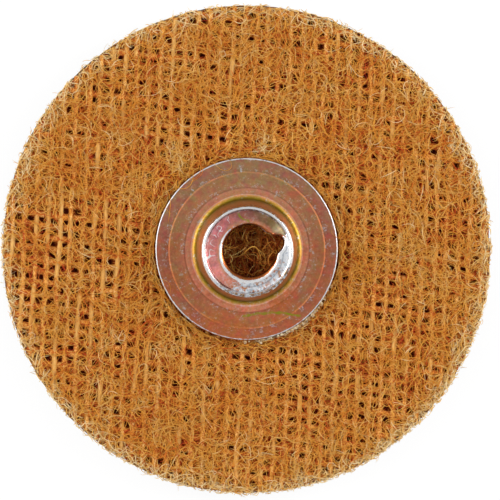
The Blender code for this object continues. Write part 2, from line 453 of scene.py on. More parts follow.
def sweep(paths: Array, half_widths: Array, half_heights: Array, sides: int) -> tuple[Array, list[Array]]:
    """Sweeps an oval along every path at once, with both ends capped.

    Formula: the tangent is the difference of neighbouring points. The side vector is the tangent
    crossed with Z, and the lift vector is the side crossed with the tangent. A ring point is the path
    point plus half the width times cos a times the side, plus half the height times sin a times the
    lift, for equal steps of the angle a.

    Args:
        paths: Points of the paths: path, step, coordinate.
        half_widths: Half widths: path, step.
        half_heights: Half heights: path, step.
        sides: Number of corners of the oval.

    Returns:
        The points and the arrays of faces.
    """
    tangents = np.gradient(paths, axis=1)
    tangents /= np.linalg.norm(tangents, axis=-1, keepdims=True)
    level = np.stack([tangents[..., 1], -tangents[..., 0], np.zeros(tangents.shape[:2])], axis=-1)
    level[..., 0] += 1e-6
    level /= np.linalg.norm(level, axis=-1, keepdims=True)
    lift = np.cross(level, tangents)
    angles = np.arange(sides) * (2 * math.pi / sides) + math.pi / 2
    across = half_widths[..., None, None] * np.cos(angles)[:, None] * level[:, :, None, :]
    upward = half_heights[..., None, None] * np.sin(angles)[:, None] * lift[:, :, None, :]
    points = paths[:, :, None, :] + across + upward
    index = np.arange(points[..., 0].size).reshape(points.shape[:3])
    here, after = index[:, :-1], index[:, 1:]
    quads = np.stack([here, after, np.roll(after, -1, axis=2), np.roll(here, -1, axis=2)], axis=-1)
    return points.reshape(-1, 3), [quads.reshape(-1, 4), index[:, 0], index[:, -1, ::-1]]


# Pieces of the disc


@dataclass
class Piece:
    """One object of the dressed part, with its slot and the solids that it stands for."""

    obj: Object
    slot: str
    stands_for: tuple[str, ...] = ()


@dataclass(frozen=True)
class Disc:
    """Sizes that all layers of the disc share, in millimetres from the floor up."""

    radius: float = 25.4
    web_top: float = 3.5
    scrim_middle: float = 3.82
    yarn_top: float = 4.02
    flange_radius: float = 9.45
    flange_base: float = 4.6
    socket_radius: float = 4.4


@dataclass(frozen=True)
class Weave:
    """Grid of the scrim's yarns: warp i runs where the first count is i, weft j where the second is j."""

    warp_pitch: float = 1.222
    weft_pitch: float = 1.18
    warp_lean_deg: float = 2.6
    weft_fall_deg: float = 6.7
    open_seed: int = 11
    bare_share: float = 0.16
    bare_half: float = 0.13
    patch_mm: float = 6.0
    tuft_mm: float = 2.4
    open_least: float = 0.26
    open_span: float = 0.6

    def normals(self) -> tuple[Array, Array]:
        """Unit vectors across the warp and across the weft."""
        lean, fall = math.radians(self.warp_lean_deg), math.radians(self.weft_fall_deg)
        return np.array([math.cos(lean), -math.sin(lean)]), np.array([math.sin(fall), math.cos(fall)])

    def counts(self, points: Array) -> Array:
        """Turns places into yarn counts.

        Formula: the place's distance along each yarn's normal, divided by that yarn's pitch.

        Args:
            points: Places in millimetres, x and y first on the last axis.

        Returns:
            Warp count and weft count on the last axis.
        """
        across_warp, across_weft = self.normals()
        flat = points[..., :2]
        counts = [flat @ across_warp / self.warp_pitch, flat @ across_weft / self.weft_pitch]
        return np.stack(counts, axis=-1)

    def openness(self, points: Array) -> Array:
        """Chance from 0 to 1 that a cell of the weave isn't filled by fibres.

        Formula: a noise of the patches' size and one of the tufts' size, averaged with the weights 0.6
        and 0.4, stretched between the least and the greatest chance by a smooth step, and lower round
        the button.

        Args:
            points: Places in millimetres, x and y first on the last axis.

        Returns:
            The chance at each place.
        """
        flat = points[..., :2]
        broad = smooth_noise(flat / self.patch_mm + 40.0, 21)
        close = smooth_noise(flat / self.tuft_mm + 80.0, 22)
        reach = np.linalg.norm(flat, axis=-1)
        most = self.open_least + self.open_span * smoothstep(0.3, 0.75, 0.6 * broad + 0.4 * close)
        return most * (0.6 + 0.4 * smoothstep(10.0, 14.0, reach))

    def gap(self, points: Array, margin: float | Array, blur: float) -> Array:
        """How far each place is inside the gap of a cell, from 0 to 1.

        Formula: the distance to the nearest yarn of each direction, as a share of the pitch, through a
        smooth step round the margin, and the product of both.

        Args:
            points: Places in millimetres.
            margin: Share of the cell that half a yarn takes.
            blur: Half width of the step.

        Returns:
            One number for each place.
        """
        part = self.counts(points) % 1.0
        spare = np.minimum(part, 1 - part) - np.asarray(margin)[..., None]
        return smoothstep(-blur, blur, spare).prod(axis=-1)

    def cells(self, points: Array) -> Array:
        """Cell of the weave under each place: both counts, rounded down."""
        return np.floor(self.counts(points)).astype(np.int64)

    def margin(self, points: Array) -> Array:
        """Share of the cell that the fibres round its gap take: 0.18 to 0.42, by the cell's hash."""
        return 0.18 + 0.24 * lattice_hash(self.cells(points), self.open_seed + 2)

    def is_open(self, points: Array) -> Array:
        """Whether the cell under each place stays open: its hash is below the openness there."""
        return lattice_hash(self.cells(points), self.open_seed) < self.openness(points)

    def bare_warp(self, points: Array) -> Array:
        """Whether the nearest warp lies bare there.

        Formula: the hash of that warp's number and of every second weft's is below the bare share, which
        is less round the button and falls by 0.7 of itself for each 25 mm to the right.

        Args:
            points: Places in millimetres.

        Returns:
            True where the warp is bare.
        """
        counts = self.counts(points)
        warp = np.round(counts[..., 0])
        stretch = np.stack([warp, np.floor(counts[..., 1] / 2 + warp * 0.37)], axis=-1)
        share = self.bare_share * smoothstep(11.0, 15.0, np.linalg.norm(points[..., :2], axis=-1))
        share = share * (1 - 0.7 * points[..., 0] / 25)
        return lattice_hash(stretch.astype(np.int64), self.open_seed + 1) < share

    def left_bare(self, points: Array) -> Array:
        """Whether fibres mostly stay off a place.

        Formula: the gap is more than half open and its cell is open, or a bare warp is closer than
        the bare half width, in pitches.

        Args:
            points: Places in millimetres.

        Returns:
            True where fibres mostly stay off.
        """
        across = self.counts(points)[..., 0]
        on_warp = np.abs(across - np.round(across)) < self.bare_half
        in_gap = self.gap(points, self.margin(points), 0.01) > 0.5
        return in_gap & self.is_open(points) | on_warp & self.bare_warp(points)


@dataclass
class AbrasiveWeb:
    """The non-woven web: a solid core, with curly fibres on its side wall and on its working face."""

    disc: Disc = field(default_factory=Disc)
    weave: Weave = field(default_factory=Weave)
    core_inset: float = 0.18
    core_base: float = 0.22
    pit_depth: float = 0.4
    swell_height: float = 0.25
    lump_mm: float = 0.5
    turns: int = 448
    side_fibres: int = 1250
    face_fibres: int = 900
    stops: Stops = (
        (0.0, "#2B211C"), (0.3, "#4A382C"), (0.55, "#6A4A34"), (0.8, "#A0682F"), (1.0, "#D2A468"),
    )

    @property
    def rim(self) -> float:
        """Radius of the core's side wall: the disc's, less the inset."""
        return self.disc.radius - self.core_inset

    def core(self) -> Object:
        """Builds the core.

        Formula: a profile of radius and height is carried round the axis. Points move out and up by a
        noise of the lumps' size. On top, the web swells up in the weave's closed cells, and sinks
        by the pit depth in the open ones. The first and last rings close on points on the axis.

        Returns:
            The core's object.
        """
        rim = self.rim
        low, high = self.core_base, self.disc.web_top
        below = np.array([0.4, 5.0, 10.0, 15.0, 20.0, 23.0, rim - 0.9, rim - 0.3])
        inward = [np.linspace(rim - 0.3, 9.2, 56), [7.6, 6.0, 4.7], np.linspace(4.3, 0.3, 13)]
        inward = np.concatenate(inward)
        wall = np.linspace(low + 0.3, high - 0.3, 6)
        radii = np.concatenate([below, [rim - 0.12], np.full(6, rim), [rim - 0.12], inward])
        ends = (np.full(len(below), low), np.full(len(inward), high))
        heights = np.concatenate([ends[0], [low + 0.1], wall, [high - 0.1], ends[1]])
        turn = np.linspace(0, 2 * math.pi, self.turns, endpoint=False)
        flat = polar(radii[:, None], turn[None, :])
        level = np.broadcast_to(heights[:, None], flat.shape[:2])
        rough = smooth_noise(lifted(flat, level) / self.lump_mm + 90.0, 31) - 0.5
        on_top = (level >= high) & (radii[:, None] < rim - 0.4)
        gap = self.weave.gap(flat, 0.24, 0.1)
        # Open cells sink, and carry the painted shade of the deep gaps.
        pit = np.where(on_top & self.weave.is_open(flat), gap, 0.0)
        sink = (self.pit_depth + self.swell_height) * pit
        swell = np.where(on_top, self.swell_height * gap - sink, 0.0)
        flat = flat * (1 + rough * 0.24 / np.maximum(radii[:, None], 3.0))[..., None]
        points = lifted(flat, level + rough * 0.2 + swell).reshape(-1, 3)
        poles = np.array([[0, 0, low], [0, 0, high]])
        count = len(radii) * self.turns
        first = np.arange(self.turns)
        last = first + count - self.turns
        under = np.stack([np.roll(first, -1), first, np.full(self.turns, count)], axis=-1)
        above = np.stack([last, np.roll(last, -1), np.full(self.turns, count + 1)], axis=-1)
        faces = [grid_quads(len(radii), self.turns, False), under, above]
        values = {"pit": np.concatenate([pit.ravel(), [0.0, 0.0]])}
        points = np.concatenate([points, poles])
        return mesh_object("web_core", points, faces, LoadedWebFinish().material(), values)

    def wall_curls(self, material: Material) -> Object:
        """Builds the fibres on the side wall.

        Formula: flat curls whose first coordinate is the arc along the rim and whose second is the
        height, wrapped round the axis. Fibres near the scrim are paler.

        Args:
            material: The fibre material.

        Returns:
            The fibres' object.
        """
        rng = np.random.default_rng(41)
        rim = self.rim
        arc = rng.uniform(0, 2 * math.pi * rim, self.side_fibres)
        rise = rng.uniform(0.25, self.disc.yarn_top - 0.2, self.side_fibres)
        lay = CurlLay(self.side_fibres, 5, (1.0, 2.4), (0.5, 2.2), (0.04, 0.065))
        flat = lay.curls(np.stack([arc, rise], axis=-1), rng)
        height = np.clip(flat[..., 1], 0.09, self.disc.yarn_top)
        arch = 0.1 * np.sin(np.linspace(0.15, 0.85, 6) * math.pi)
        depth = rim + 0.02 + arch * rng.uniform(0.2, 1.0, (self.side_fibres, 1))
        ring = polar(depth, flat[..., 0] / rim)
        paths = lifted(ring, height)
        paler = 0.55 * smoothstep(2.7, 4.0, height.mean(axis=1))
        tint = 0.06 + 0.4 * rng.random(self.side_fibres) + paler
        return lay.fibres("side_wall_fibres", paths, tint, material, rng)

    def face_curls(self, material: Material) -> Object:
        """Builds the fibres of the working face, pressed flat against the floor's level."""
        rng = np.random.default_rng(42)
        lay = CurlLay(self.face_fibres, 7, (2.4, 5.0), (0.9, 3.0), (0.05, 0.1))
        spread = (self.disc.radius - 1.2) * np.sqrt(rng.random(self.face_fibres))
        flat = lay.curls(polar(spread, rng.uniform(0, 2 * math.pi, self.face_fibres)), rng)
        flat = pulled_in(flat, self.disc.radius - 0.15)
        wave = 0.06 * np.sin(np.linspace(0, 2 * math.pi, 8))
        level = rng.uniform(0.11, 0.3, (self.face_fibres, 1)) + wave
        paths = lifted(flat, np.maximum(level, 0.095))
        tint = 0.05 + 0.5 * rng.random(self.face_fibres)
        return lay.fibres("working_face_fibres", paths, tint, material, rng)

    def build(self) -> list[Piece]:
        """Builds the web's three pieces."""
        material = FibreFinish("grain_loaded_nylon_fibre", self.stops, roughness=0.7).material()
        return [
            Piece(self.core(), "abrasive_web", ("abrasive_web",)),
            Piece(self.wall_curls(material), "abrasive_web"),
            Piece(self.face_curls(material), "abrasive_web"),
        ]


@dataclass(frozen=True)
class CurlLay:
    """A batch of crimped fibres of one kind: how many, how long, how curly and how thick, in mm."""

    count: int
    steps: int
    length: Pair
    bend_radius: Pair
    thickness: Pair
    sides: int = 3

    def curls(self, centres: Array, rng: Rng) -> Array:
        """Lays flat curls about their centres.

        Formula: the curvature is 1 over a random bend radius of either sign, times 1 plus 0.9 times a
        sine along the fibre. The heading is the running sum of the curvature, and the path is the
        running sum of the heading's cosine and sine, moved so that its mean is the centre.

        Args:
            centres: Centre of each fibre, x and y.
            rng: Source of the random draws.

        Returns:
            Points of the curls: fibre, step, coordinate.
        """
        count = len(centres)
        length = rng.uniform(*self.length, (count, 1))
        low, high = np.log(self.bend_radius)
        bend = np.exp(rng.uniform(low, high, (count, 1)))
        side = rng.choice([-1.0, 1.0], (count, 1))
        share = np.linspace(0, 1, self.steps + 1)
        wave = np.sin(2 * math.pi * (share * rng.uniform(0.3, 1.4, (count, 1)) + rng.random((count, 1))))
        curvature = side / bend * (1 + 0.9 * wave)
        step = length / self.steps
        heading = rng.uniform(0, 2 * math.pi, (count, 1)) + np.cumsum(curvature * step, axis=1)
        path = np.cumsum(polar(np.broadcast_to(step, heading.shape), heading), axis=1)
        return path - path.mean(axis=1, keepdims=True) + centres[:, None, :]

    def fibres(self, name: str, paths: Array, tint: Array, material: Material, rng: Rng) -> Object:
        """Sweeps round fibres along the paths, tapered at both ends.

        Formula: the radius is the fibre's own, times 0.45 at the ends and 1 over the middle.

        Args:
            name: Name of the piece.
            paths: Points of the fibres: fibre, step, coordinate.
            tint: One number for each fibre, or for each of its points, from dark at 0 to pale at 1.
            material: The fibre material.
            rng: Source of the random draws.

        Returns:
            The object that holds all the fibres.
        """
        share = np.linspace(0, 1, paths.shape[1])
        taper = 0.45 + 0.55 * smoothstep(0.0, 0.25, np.minimum(share, 1 - share))
        radius = rng.uniform(*self.thickness, (len(paths), 1)) * taper
        points, faces = sweep(paths, radius, radius, self.sides)
        shades = tint if tint.ndim == 2 else tint[:, None]
        spread = np.repeat(np.broadcast_to(shades, paths.shape[:2]).ravel(), self.sides)
        return mesh_object(name, points, faces, material, {"tint": spread})


@dataclass
class Scrim:
    """The woven backing: warp and weft yarns that pass over and under each other."""

    disc: Disc = field(default_factory=Disc)
    weave: Weave = field(default_factory=Weave)
    steps: int = 96
    sides: int = 5
    edge_inset: float = 0.08
    swing: float = 0.06
    warp_rise: float = 0.05
    wander: float = 0.3
    wander_mm: float = 4.0
    slub_mm: float = 1.5
    warp_half: Pair = (0.25, 0.1)
    weft_half: Pair = (0.36, 0.09)

    def yarns(self, name: str, warp: bool, finish: YarnFinish, seed: int) -> Object:
        """Builds all yarns of one direction.

        Formula: yarn i keeps its own count at i and runs along the line there, over the chord of the
        scrim's circle. Its height is the scrim's middle plus the warp's rise plus the swing times the
        cosine of pi times the sum of both counts, with both signs turned for the weft. It wanders
        sideways by a slow noise.

        Args:
            name: Name of the piece.
            warp: Whether these are the warp yarns.
            finish: Finish of the yarn.
            seed: Picks the yarns' wander and tints.

        Returns:
            The object that holds the yarns.
        """
        across = self.weave.normals()[0 if warp else 1]
        pitch = self.weave.warp_pitch if warp else self.weave.weft_pitch
        half_width, half_height = self.warp_half if warp else self.weft_half
        runs = np.array([-across[1], across[0]])
        reach = self.disc.radius - self.edge_inset
        last = int((reach - half_width) / pitch)
        number = np.arange(-last, last + 1)
        offset = number * pitch
        half_chord = np.sqrt(reach**2 - (np.abs(offset) + half_width) ** 2)
        along = half_chord[:, None] * np.linspace(-1, 1, self.steps)
        own = np.broadcast_to(number[:, None] + 50.0, along.shape)
        wander = smooth_noise(np.stack([along / self.wander_mm + 50.0, own], axis=-1), seed)
        sideways = offset[:, None] + (wander - 0.5) * self.wander
        flat = sideways[..., None] * across + along[..., None] * runs
        counts = self.weave.counts(flat)
        phase = (number[:, None] + counts[..., 1 if warp else 0]) * math.pi
        sign = 1 if warp else -1
        height = self.disc.scrim_middle + sign * (self.warp_rise + self.swing * np.cos(phase))
        paths = lifted(flat, height)
        slubs = np.stack([along / self.slub_mm + 90.0, counts[..., 0] + 90.0], axis=-1)
        lumps = smooth_noise(slubs, seed + 1)
        swell = 1 + 0.25 * (lumps - 0.5)
        points, faces = sweep(paths, half_width * swell, half_height * swell, self.sides)
        rng = np.random.default_rng(seed)
        in_socket = np.linalg.norm(flat, axis=-1) < self.disc.socket_radius
        # In the socket the yarns' tint is lower by 0.45: painted shade in the button's bore.
        shade = 0.5 + 0.2 * (rng.random((len(number), 1)) - 0.5) - 0.45 * in_socket
        fuzz = np.where(in_socket, 0.85, 1.0 - self.weave.bare_warp(flat) * warp)
        turn = np.arange(self.sides) / self.sides * 2 * math.pi * half_width * 0.7
        per_step = {"tint": shade, "along": along, "fuzz": fuzz}
        values = {key: np.repeat(part.ravel(), self.sides) for key, part in per_step.items()}
        values["around"] = np.tile(turn, along.size)
        return mesh_object(name, points, faces, finish.material(), values)

    def build(self) -> list[Piece]:
        """Builds the warp and the weft."""
        warp_mat = ((0.0, "#A63A18"), (0.45, "#D08634"), (0.75, "#E8A64C"), (1.0, "#F2C47C"))
        weft_mat = ((0.0, "#962410"), (0.45, "#C46E22"), (0.75, "#DA9038"), (1.0, "#ECB266"))
        warp_stops = ((0.0, "#83491A"), (0.35, "#CC9042"), (0.65, "#E6B468"), (1.0, "#F4D498"))
        weft_stops = ((0.0, "#5A220A"), (0.35, "#96501A"), (0.65, "#C07A2C"), (1.0, "#DE9A44"))
        warp_finish = YarnFinish("resined_warp_yarns", warp_stops, warp_mat)
        weft_finish = YarnFinish("resined_weft_yarns", weft_stops, weft_mat)
        return [
            Piece(self.yarns(name, warp, finish, seed), "scrim_cloth", ("scrim_cloth",))
            for name, warp, finish, seed in (
                ("warp_yarns", True, warp_finish, 51),
                ("weft_yarns", False, weft_finish, 61),
            )
        ]


@dataclass
class NeedledFibres:
    """The web's fibres that were needled up through the scrim and lie curled on its back."""

    disc: Disc = field(default_factory=Disc)
    weave: Weave = field(default_factory=Weave)
    short_count: int = 4200
    long_count: int = 1050
    edge_count: int = 2500
    stray_count: int = 70
    socket_count: int = 360
    draped_count: int = 10
    stops: Stops = (
        (0.0, "#90200E"), (0.2, "#CC461A"), (0.42, "#E49B32"), (0.66, "#E9B252"), (0.85, "#E8C27C"),
        (1.0, "#F2DCAC"),
    )
    collar_count: int = 520
    arch: tuple[tuple[float, float, float], ...] = (
        (-1.0, -1.05, 4.4), (-0.12, -0.1, 5.8), (0.72, 0.4, 6.4), (1.3, -0.3, 5.8), (1.6, -1.6, 4.4),
    )
    # Brighter than the other fibres' ramp: painted light for the fibres in the shaded socket.
    socket_lit_stops: Stops = (
        (0.0, "#923410"), (0.35, "#EC8430"), (0.7, "#FFC254"), (1.0, "#FFDC88"),
    )

    def scattered(self, count: int, rng: Rng, inner: float, outer: float) -> Array:
        """Random centres, spread evenly over a ring."""
        radius = np.sqrt(rng.uniform(inner**2, outer**2, count))
        return polar(radius, rng.uniform(0, 2 * math.pi, count))

    def height_along(self, steps: int, root: Array, top: Array) -> Array:
        """Height of a fibre that rises from its root, lies level and dives again.

        Formula: root plus the rise times 1 minus the sixth power of twice the share along, less 1.

        Args:
            steps: Number of steps along the fibre.
            root: Height of the ends, one to a fibre.
            top: Height of the middle, one to a fibre.

        Returns:
            Heights: fibre, step.
        """
        share = np.linspace(-1, 1, steps + 1)
        return root[:, None] + (top - root)[:, None] * (1 - share**6)

    def kept(self, flat: Array, rng: Rng, patience: float, edge: float) -> Array:
        """Picks the fibres that stay on the scrim and mostly off its bare places.

        Formula: a fibre stays if all its points are between the flange and the edge, and if the share of
        them over bare places is no more than the square of a random number times the patience.

        Args:
            flat: Points of the fibres in the plane.
            rng: Source of the random draws.
            patience: How readily a fibre may cross a bare place.
            edge: Greatest distance from the axis.

        Returns:
            True for each fibre that stays.
        """
        reach = np.linalg.norm(flat, axis=-1)
        on_scrim = (reach < edge).all(axis=1) & (reach > self.disc.flange_radius + 0.12).all(axis=1)
        crossing = self.weave.left_bare(flat).mean(axis=1)
        return on_scrim & (crossing <= rng.random(len(flat)) ** 2 * patience)

    def lying(
        self,
        name: str,
        lay: CurlLay,
        seed: int,
        levels: Pair,
        patience: float,
        tints: tuple[float, float, float],
        material: Material,
    ) -> Object:
        """Builds one batch of fibres over the whole back, in paler and darker tufts.

        Formula: the tint rises over each yarn and falls between them, by a cosine of the yarn counts:
        painted light and shade of fibres that lie higher over the yarns and lower between them.

        Args:
            name: Name of the piece.
            lay: The fibres' kind and number.
            seed: Seed of the random draws.
            levels: Lowest and highest level of the fibres' middles.
            patience: How readily a fibre may cross a bare place.
            tints: Middle and spread of the tints, and how much paler they are at the rim.
            material: The fibre material.

        Returns:
            The object that holds the batch.
        """
        rng = np.random.default_rng(seed)
        centres = self.scattered(lay.count * 5, rng, self.disc.flange_radius, self.disc.radius)
        flat = lay.curls(centres, rng)
        flat = flat[self.kept(flat, rng, patience, self.disc.radius + 0.07)][: lay.count]
        reach = np.linalg.norm(flat.mean(axis=1), axis=-1)
        collar = 0.35 * smoothstep(11.5, 9.6, reach)
        top = rng.uniform(*levels, len(flat)) + collar
        height = self.height_along(lay.steps, np.full(len(flat), levels[0] - 0.3), top)
        tuft = smooth_noise(flat.mean(axis=1) / 0.8 + 50.0, 24) - 0.5
        tint = tints[0] + tints[1] * rng.standard_normal(len(flat)) + 0.4 * tuft
        tint += tints[2] * smoothstep(23.2, 25.1, reach)
        # Paler over the yarns and darker between them: painted light and shade.
        ridge_shading = np.cos(2 * math.pi * self.weave.counts(flat)) @ np.array([0.045, 0.03])
        tint = tint[:, None] + ridge_shading * (0.4 + self.weave.openness(flat))
        paths = lifted(flat, height)
        return lay.fibres(name, paths, np.clip(tint, 0.02, 0.98), material, rng)

    def cut_edge(self, material: Material) -> Object:
        """Builds the short pale ends along the cut rim, most of them at the lower right."""
        rng = np.random.default_rng(73)
        lay = CurlLay(self.edge_count, 4, (0.6, 1.5), (0.4, 2.5), (0.035, 0.06))
        turn = rng.uniform(0, 2 * math.pi, lay.count)
        turn -= 0.5 * np.sin(turn + math.pi / 4)
        flat = lay.curls(polar(rng.uniform(24.5, 25.5, lay.count), turn), rng)
        flat = pulled_in(flat, self.disc.radius + rng.uniform(-0.1, 0.25, (lay.count, 1, 1)))
        top = rng.uniform(3.4, 4.35, lay.count)
        height = self.height_along(lay.steps, top - 0.3, top)
        tint = rng.uniform(0.68, 1.04, lay.count)
        paths = lifted(flat, height)
        return lay.fibres("cut_edge_fibres", paths, tint, material, rng)

    def strays(self, material: Material) -> Object:
        """Builds the few thin fibres that stand out past the rim."""
        rng = np.random.default_rng(74)
        lay = CurlLay(self.stray_count, 6, (0.7, 1.6), (0.6, 3.0), (0.018, 0.03))
        flat = lay.curls(self.scattered(lay.count, rng, 25.15, 25.55), rng)
        root = rng.uniform(2.6, 4.2, lay.count)
        height = self.height_along(lay.steps, root, rng.uniform(2.8, 4.3, lay.count))
        paths = lifted(flat, height)
        return lay.fibres("stray_fibres", paths, rng.uniform(0.5, 1.0, lay.count), material, rng)

    def in_socket(self) -> list[Object]:
        """Builds the fibres on the floor of the button's socket, with one that stands up in an arch.

        Formula: the arch is the curve of the fourth degree through its five points, which stand at even
        steps along it. Their ramp is brighter than the other fibres', as painted light in the shaded
        socket.

        Returns:
            The objects that hold them.
        """
        material = FibreFinish("socket_fibre_painted_brighter", self.socket_lit_stops).material()
        rng = np.random.default_rng(75)
        lay = CurlLay(self.socket_count, 8, (1.6, 3.6), (0.5, 1.8), (0.03, 0.05))
        flat = pulled_in(lay.curls(self.scattered(lay.count, rng, 0.0, 4.0), rng), 4.1)
        top = 3.95 + 2.1 * rng.random(lay.count) ** 2
        height = self.height_along(lay.steps, np.full(lay.count, 3.7), top)
        paths = lifted(flat, height)
        tint = rng.uniform(0.0, 1.0, lay.count) ** 1.5
        tangle = lay.fibres("socket_fibres", paths, tint, material, rng)
        terms = np.polyfit(np.linspace(0, 1, 5), np.array(self.arch), 4)
        arch = np.stack([np.polyval(row, np.linspace(0, 1, 17)) for row in terms.T], axis=-1)[None]
        single = CurlLay(1, 16, (1, 1), (1, 1), (0.042, 0.046), 6)
        return [tangle, single.fibres("socket_arch", arch, np.array([0.7]), material, rng)]

    def collar(self, material: Material) -> Object:
        """Builds the fibres that crowd against the flange's side and run mostly round it.

        Formula: flat curls whose first coordinate is the arc along the flange and whose second is the
        distance from it, wrapped round the axis and kept off the flange.

        Args:
            material: The fibre material.

        Returns:
            The object that holds them.
        """
        rng = np.random.default_rng(79)
        lay = CurlLay(self.collar_count, 6, (1.2, 2.8), (0.6, 3.0), (0.03, 0.046))
        side = self.disc.flange_radius + 0.17
        arc = rng.uniform(0, 2 * math.pi * side, lay.count)
        flat = lay.curls(np.stack([arc, 1.1 * rng.random(lay.count) ** 1.5], axis=-1), rng)
        ring = polar(side + np.abs(flat[..., 1]) * 0.6, flat[..., 0] / side)
        top = rng.uniform(4.2, 4.95, lay.count)
        height = self.height_along(lay.steps, top - 0.35, top)
        tint = np.clip(0.5 + 0.17 * rng.standard_normal(lay.count), 0.05, 0.95)
        paths = lifted(ring, height)
        return lay.fibres("fibres_at_flange", paths, tint, material, rng)

    def draped(self, material: Material) -> Object:
        """Builds the fibres that lie over the flange's edge.

        Formula: the height falls from just above the flange's top to the back's own level as the reach
        passes from the flange's edge to 1.1 mm outside it.

        Returns:
            The object that holds them.
        """
        rng = np.random.default_rng(77)
        lay = CurlLay(self.draped_count, 18, (3.0, 6.5), (1.0, 3.5), (0.022, 0.034))
        turn = np.radians(rng.choice([18.0, 116.0, 128.0, 142.0, 205.0], lay.count))
        turn += rng.uniform(-0.2, 0.2, lay.count)
        flat = lay.curls(polar(rng.uniform(9.5, 10.2, lay.count), turn), rng)
        reach = np.linalg.norm(flat, axis=-1)
        flat *= (np.maximum(reach, 8.3 + 0.1 * rng.random((lay.count, 1))) / reach)[..., None]
        reach = np.linalg.norm(flat, axis=-1)
        height = 5.5 - 1.05 * smoothstep(9.55, 10.7, reach) + rng.uniform(0.0, 0.06, (lay.count, 1))
        paths = lifted(flat, height)
        return lay.fibres("fibres_over_flange", paths, rng.uniform(0.3, 0.65, lay.count), material, rng)

    def build(self) -> list[Piece]:
        """Builds every batch of needled fibres."""
        material = FibreFinish("resin_sized_nylon_fibre", self.stops).material()
        short = CurlLay(self.short_count, 6, (1.3, 3.2), (0.55, 3.0), (0.03, 0.048))
        long = CurlLay(self.long_count, 14, (3.0, 6.5), (1.0, 6.0), (0.02, 0.03))
        # Name, kind, seed, lowest and highest level, patience, and tints.
        batches = (
            # The lower a batch lies, the darker its middle tint: painted shade deeper in the fibres.
            ("needled_fibres_low", short, 70, (3.78, 4.0), 0.45, (0.35, 0.13, 0.4)),
            ("needled_fibres_middle", short, 71, (3.98, 4.2), 0.6, (0.5, 0.13, 0.4)),
            ("needled_fibres_top", short, 72, (4.1, 4.36), 0.75, (0.58, 0.13, 0.4)),
            ("loose_curls", long, 73, (4.3, 4.6), 1.0, (0.52, 0.08, 0.2)),
        )
        objects = [self.lying(*batch, material) for batch in batches]
        objects += [make(material) for make in (self.cut_edge, self.strays, self.collar, self.draped)]
        return [Piece(obj, "scrim_cloth") for obj in objects + self.in_socket()]


@dataclass
class Bond:
    """The adhesive under the flange, with the crust that was squeezed out along its lower right edge."""

    disc: Disc = field(default_factory=Disc)
    inner: float = 6.03
    base: float = 3.95
    lobe_deg: float = -57.0
    lobe_half_deg: float = 34.0
    crumb_count: int = 120
    rough_mm: float = 0.22
    wave_mm: float = 1.1
    turns: int = 480

    def crumbs(self, material: Material) -> Object:
        """Builds the crumbs that stick to the crust.

        Formula: each crumb is a ball of 42 points. A point moves out by its own random share, the ball
        is squeezed along three axes at random, and it is set beside the flange at a random angle of the
        lobe, lower the farther it is from the flange.

        Args:
            material: The adhesive's material.

        Returns:
            The object that holds them.
        """
        rng = np.random.default_rng(83)
        shape = bmesh.new()
        bmesh.ops.create_icosphere(shape, subdivisions=2, radius=1.0)
        ball = np.array([vertex.co for vertex in shape.verts])
        corners = np.array([[vertex.index for vertex in face.verts] for face in shape.faces])
        shape.free()
        count = self.crumb_count
        off = self.lobe_half_deg * np.clip(rng.normal(0, 0.5, count), -1, 1)
        turn = np.radians(self.lobe_deg + off)
        away = rng.uniform(0.0, 1.0, count) ** 1.8
        size = rng.uniform(0.04, 0.15, (count, 1, 1))
        grown = ball * (0.6 + 0.8 * rng.random((count, len(ball), 1)))
        grown = grown * rng.uniform(0.6, 1.6, (count, 1, 3))
        reach = self.disc.flange_radius + 0.01 + 0.33 * away
        centres = lifted(polar(reach, turn), 5.22 - 0.85 * away)
        points = (grown * size + centres[:, None, :]).reshape(-1, 3)
        faces = (corners + len(ball) * np.arange(count)[:, None, None]).reshape(-1, 3)
        return mesh_object("adhesive_crumbs", points, [faces], material)

    def build(self) -> list[Piece]:
        """Builds the bond.

        Formula: a closed outline of radius and height is carried round the axis. Its outer points move
        out by up to 0.5 mm, and rise to the flange's top, by a smooth hump over the lobe times a
        fine and a broad noise.

        Returns:
            The bond's piece.
        """
        turn = np.linspace(0, 2 * math.pi, self.turns, endpoint=False)
        away = np.abs((np.degrees(turn) - self.lobe_deg + 180) % 360 - 180)
        hump = smoothstep(self.lobe_half_deg, self.lobe_half_deg * 0.55, away)
        ring = polar(np.full(self.turns, self.disc.flange_radius), turn)
        rough = smooth_noise(ring / self.rough_mm + 60.0, 81)
        broad = smooth_noise(ring / self.wave_mm + 60.0, 82)
        swell = hump * (0.2 + 0.8 * rough) * (0.15 + 0.95 * broad)
        edge = self.disc.flange_radius - 0.25 + hump * 0.27
        under = self.disc.flange_base - 0.03
        rise = under + swell * 1.15
        level = functools.partial(np.full, self.turns)
        outline = [
            (level(self.inner), level(self.base)),
            (edge + 0.15 * swell, level(self.base)),
            (edge + 0.55 * swell, self.base + 0.2 + 0.1 * swell),
            (edge + 0.6 * swell, self.base + 0.4 + 0.35 * swell),
            (edge + 0.4 * swell, under + 0.55 * (rise - under)),
            (edge + 0.12 * swell, rise - 0.1 * swell),
            (edge - 0.1 * swell, rise),
            (edge - 0.14 * swell, under + 0.2 * (rise - under)),
            (edge - 0.1, level(under)),
            (level(self.inner), level(under)),
        ]
        radii, heights = (np.stack(part) for part in zip(*outline))
        points = lifted(polar(radii, turn[None, :]), heights)
        faces = [grid_quads(len(outline), self.turns, True)]
        material = CuredAdhesiveFinish().material()
        crust = mesh_object("adhesive_crust", points.reshape(-1, 3), faces, material)
        return [
            Piece(crust, "button_adhesive", ("button_adhesive",)),
            Piece(self.crumbs(material), "button_adhesive"),
        ]


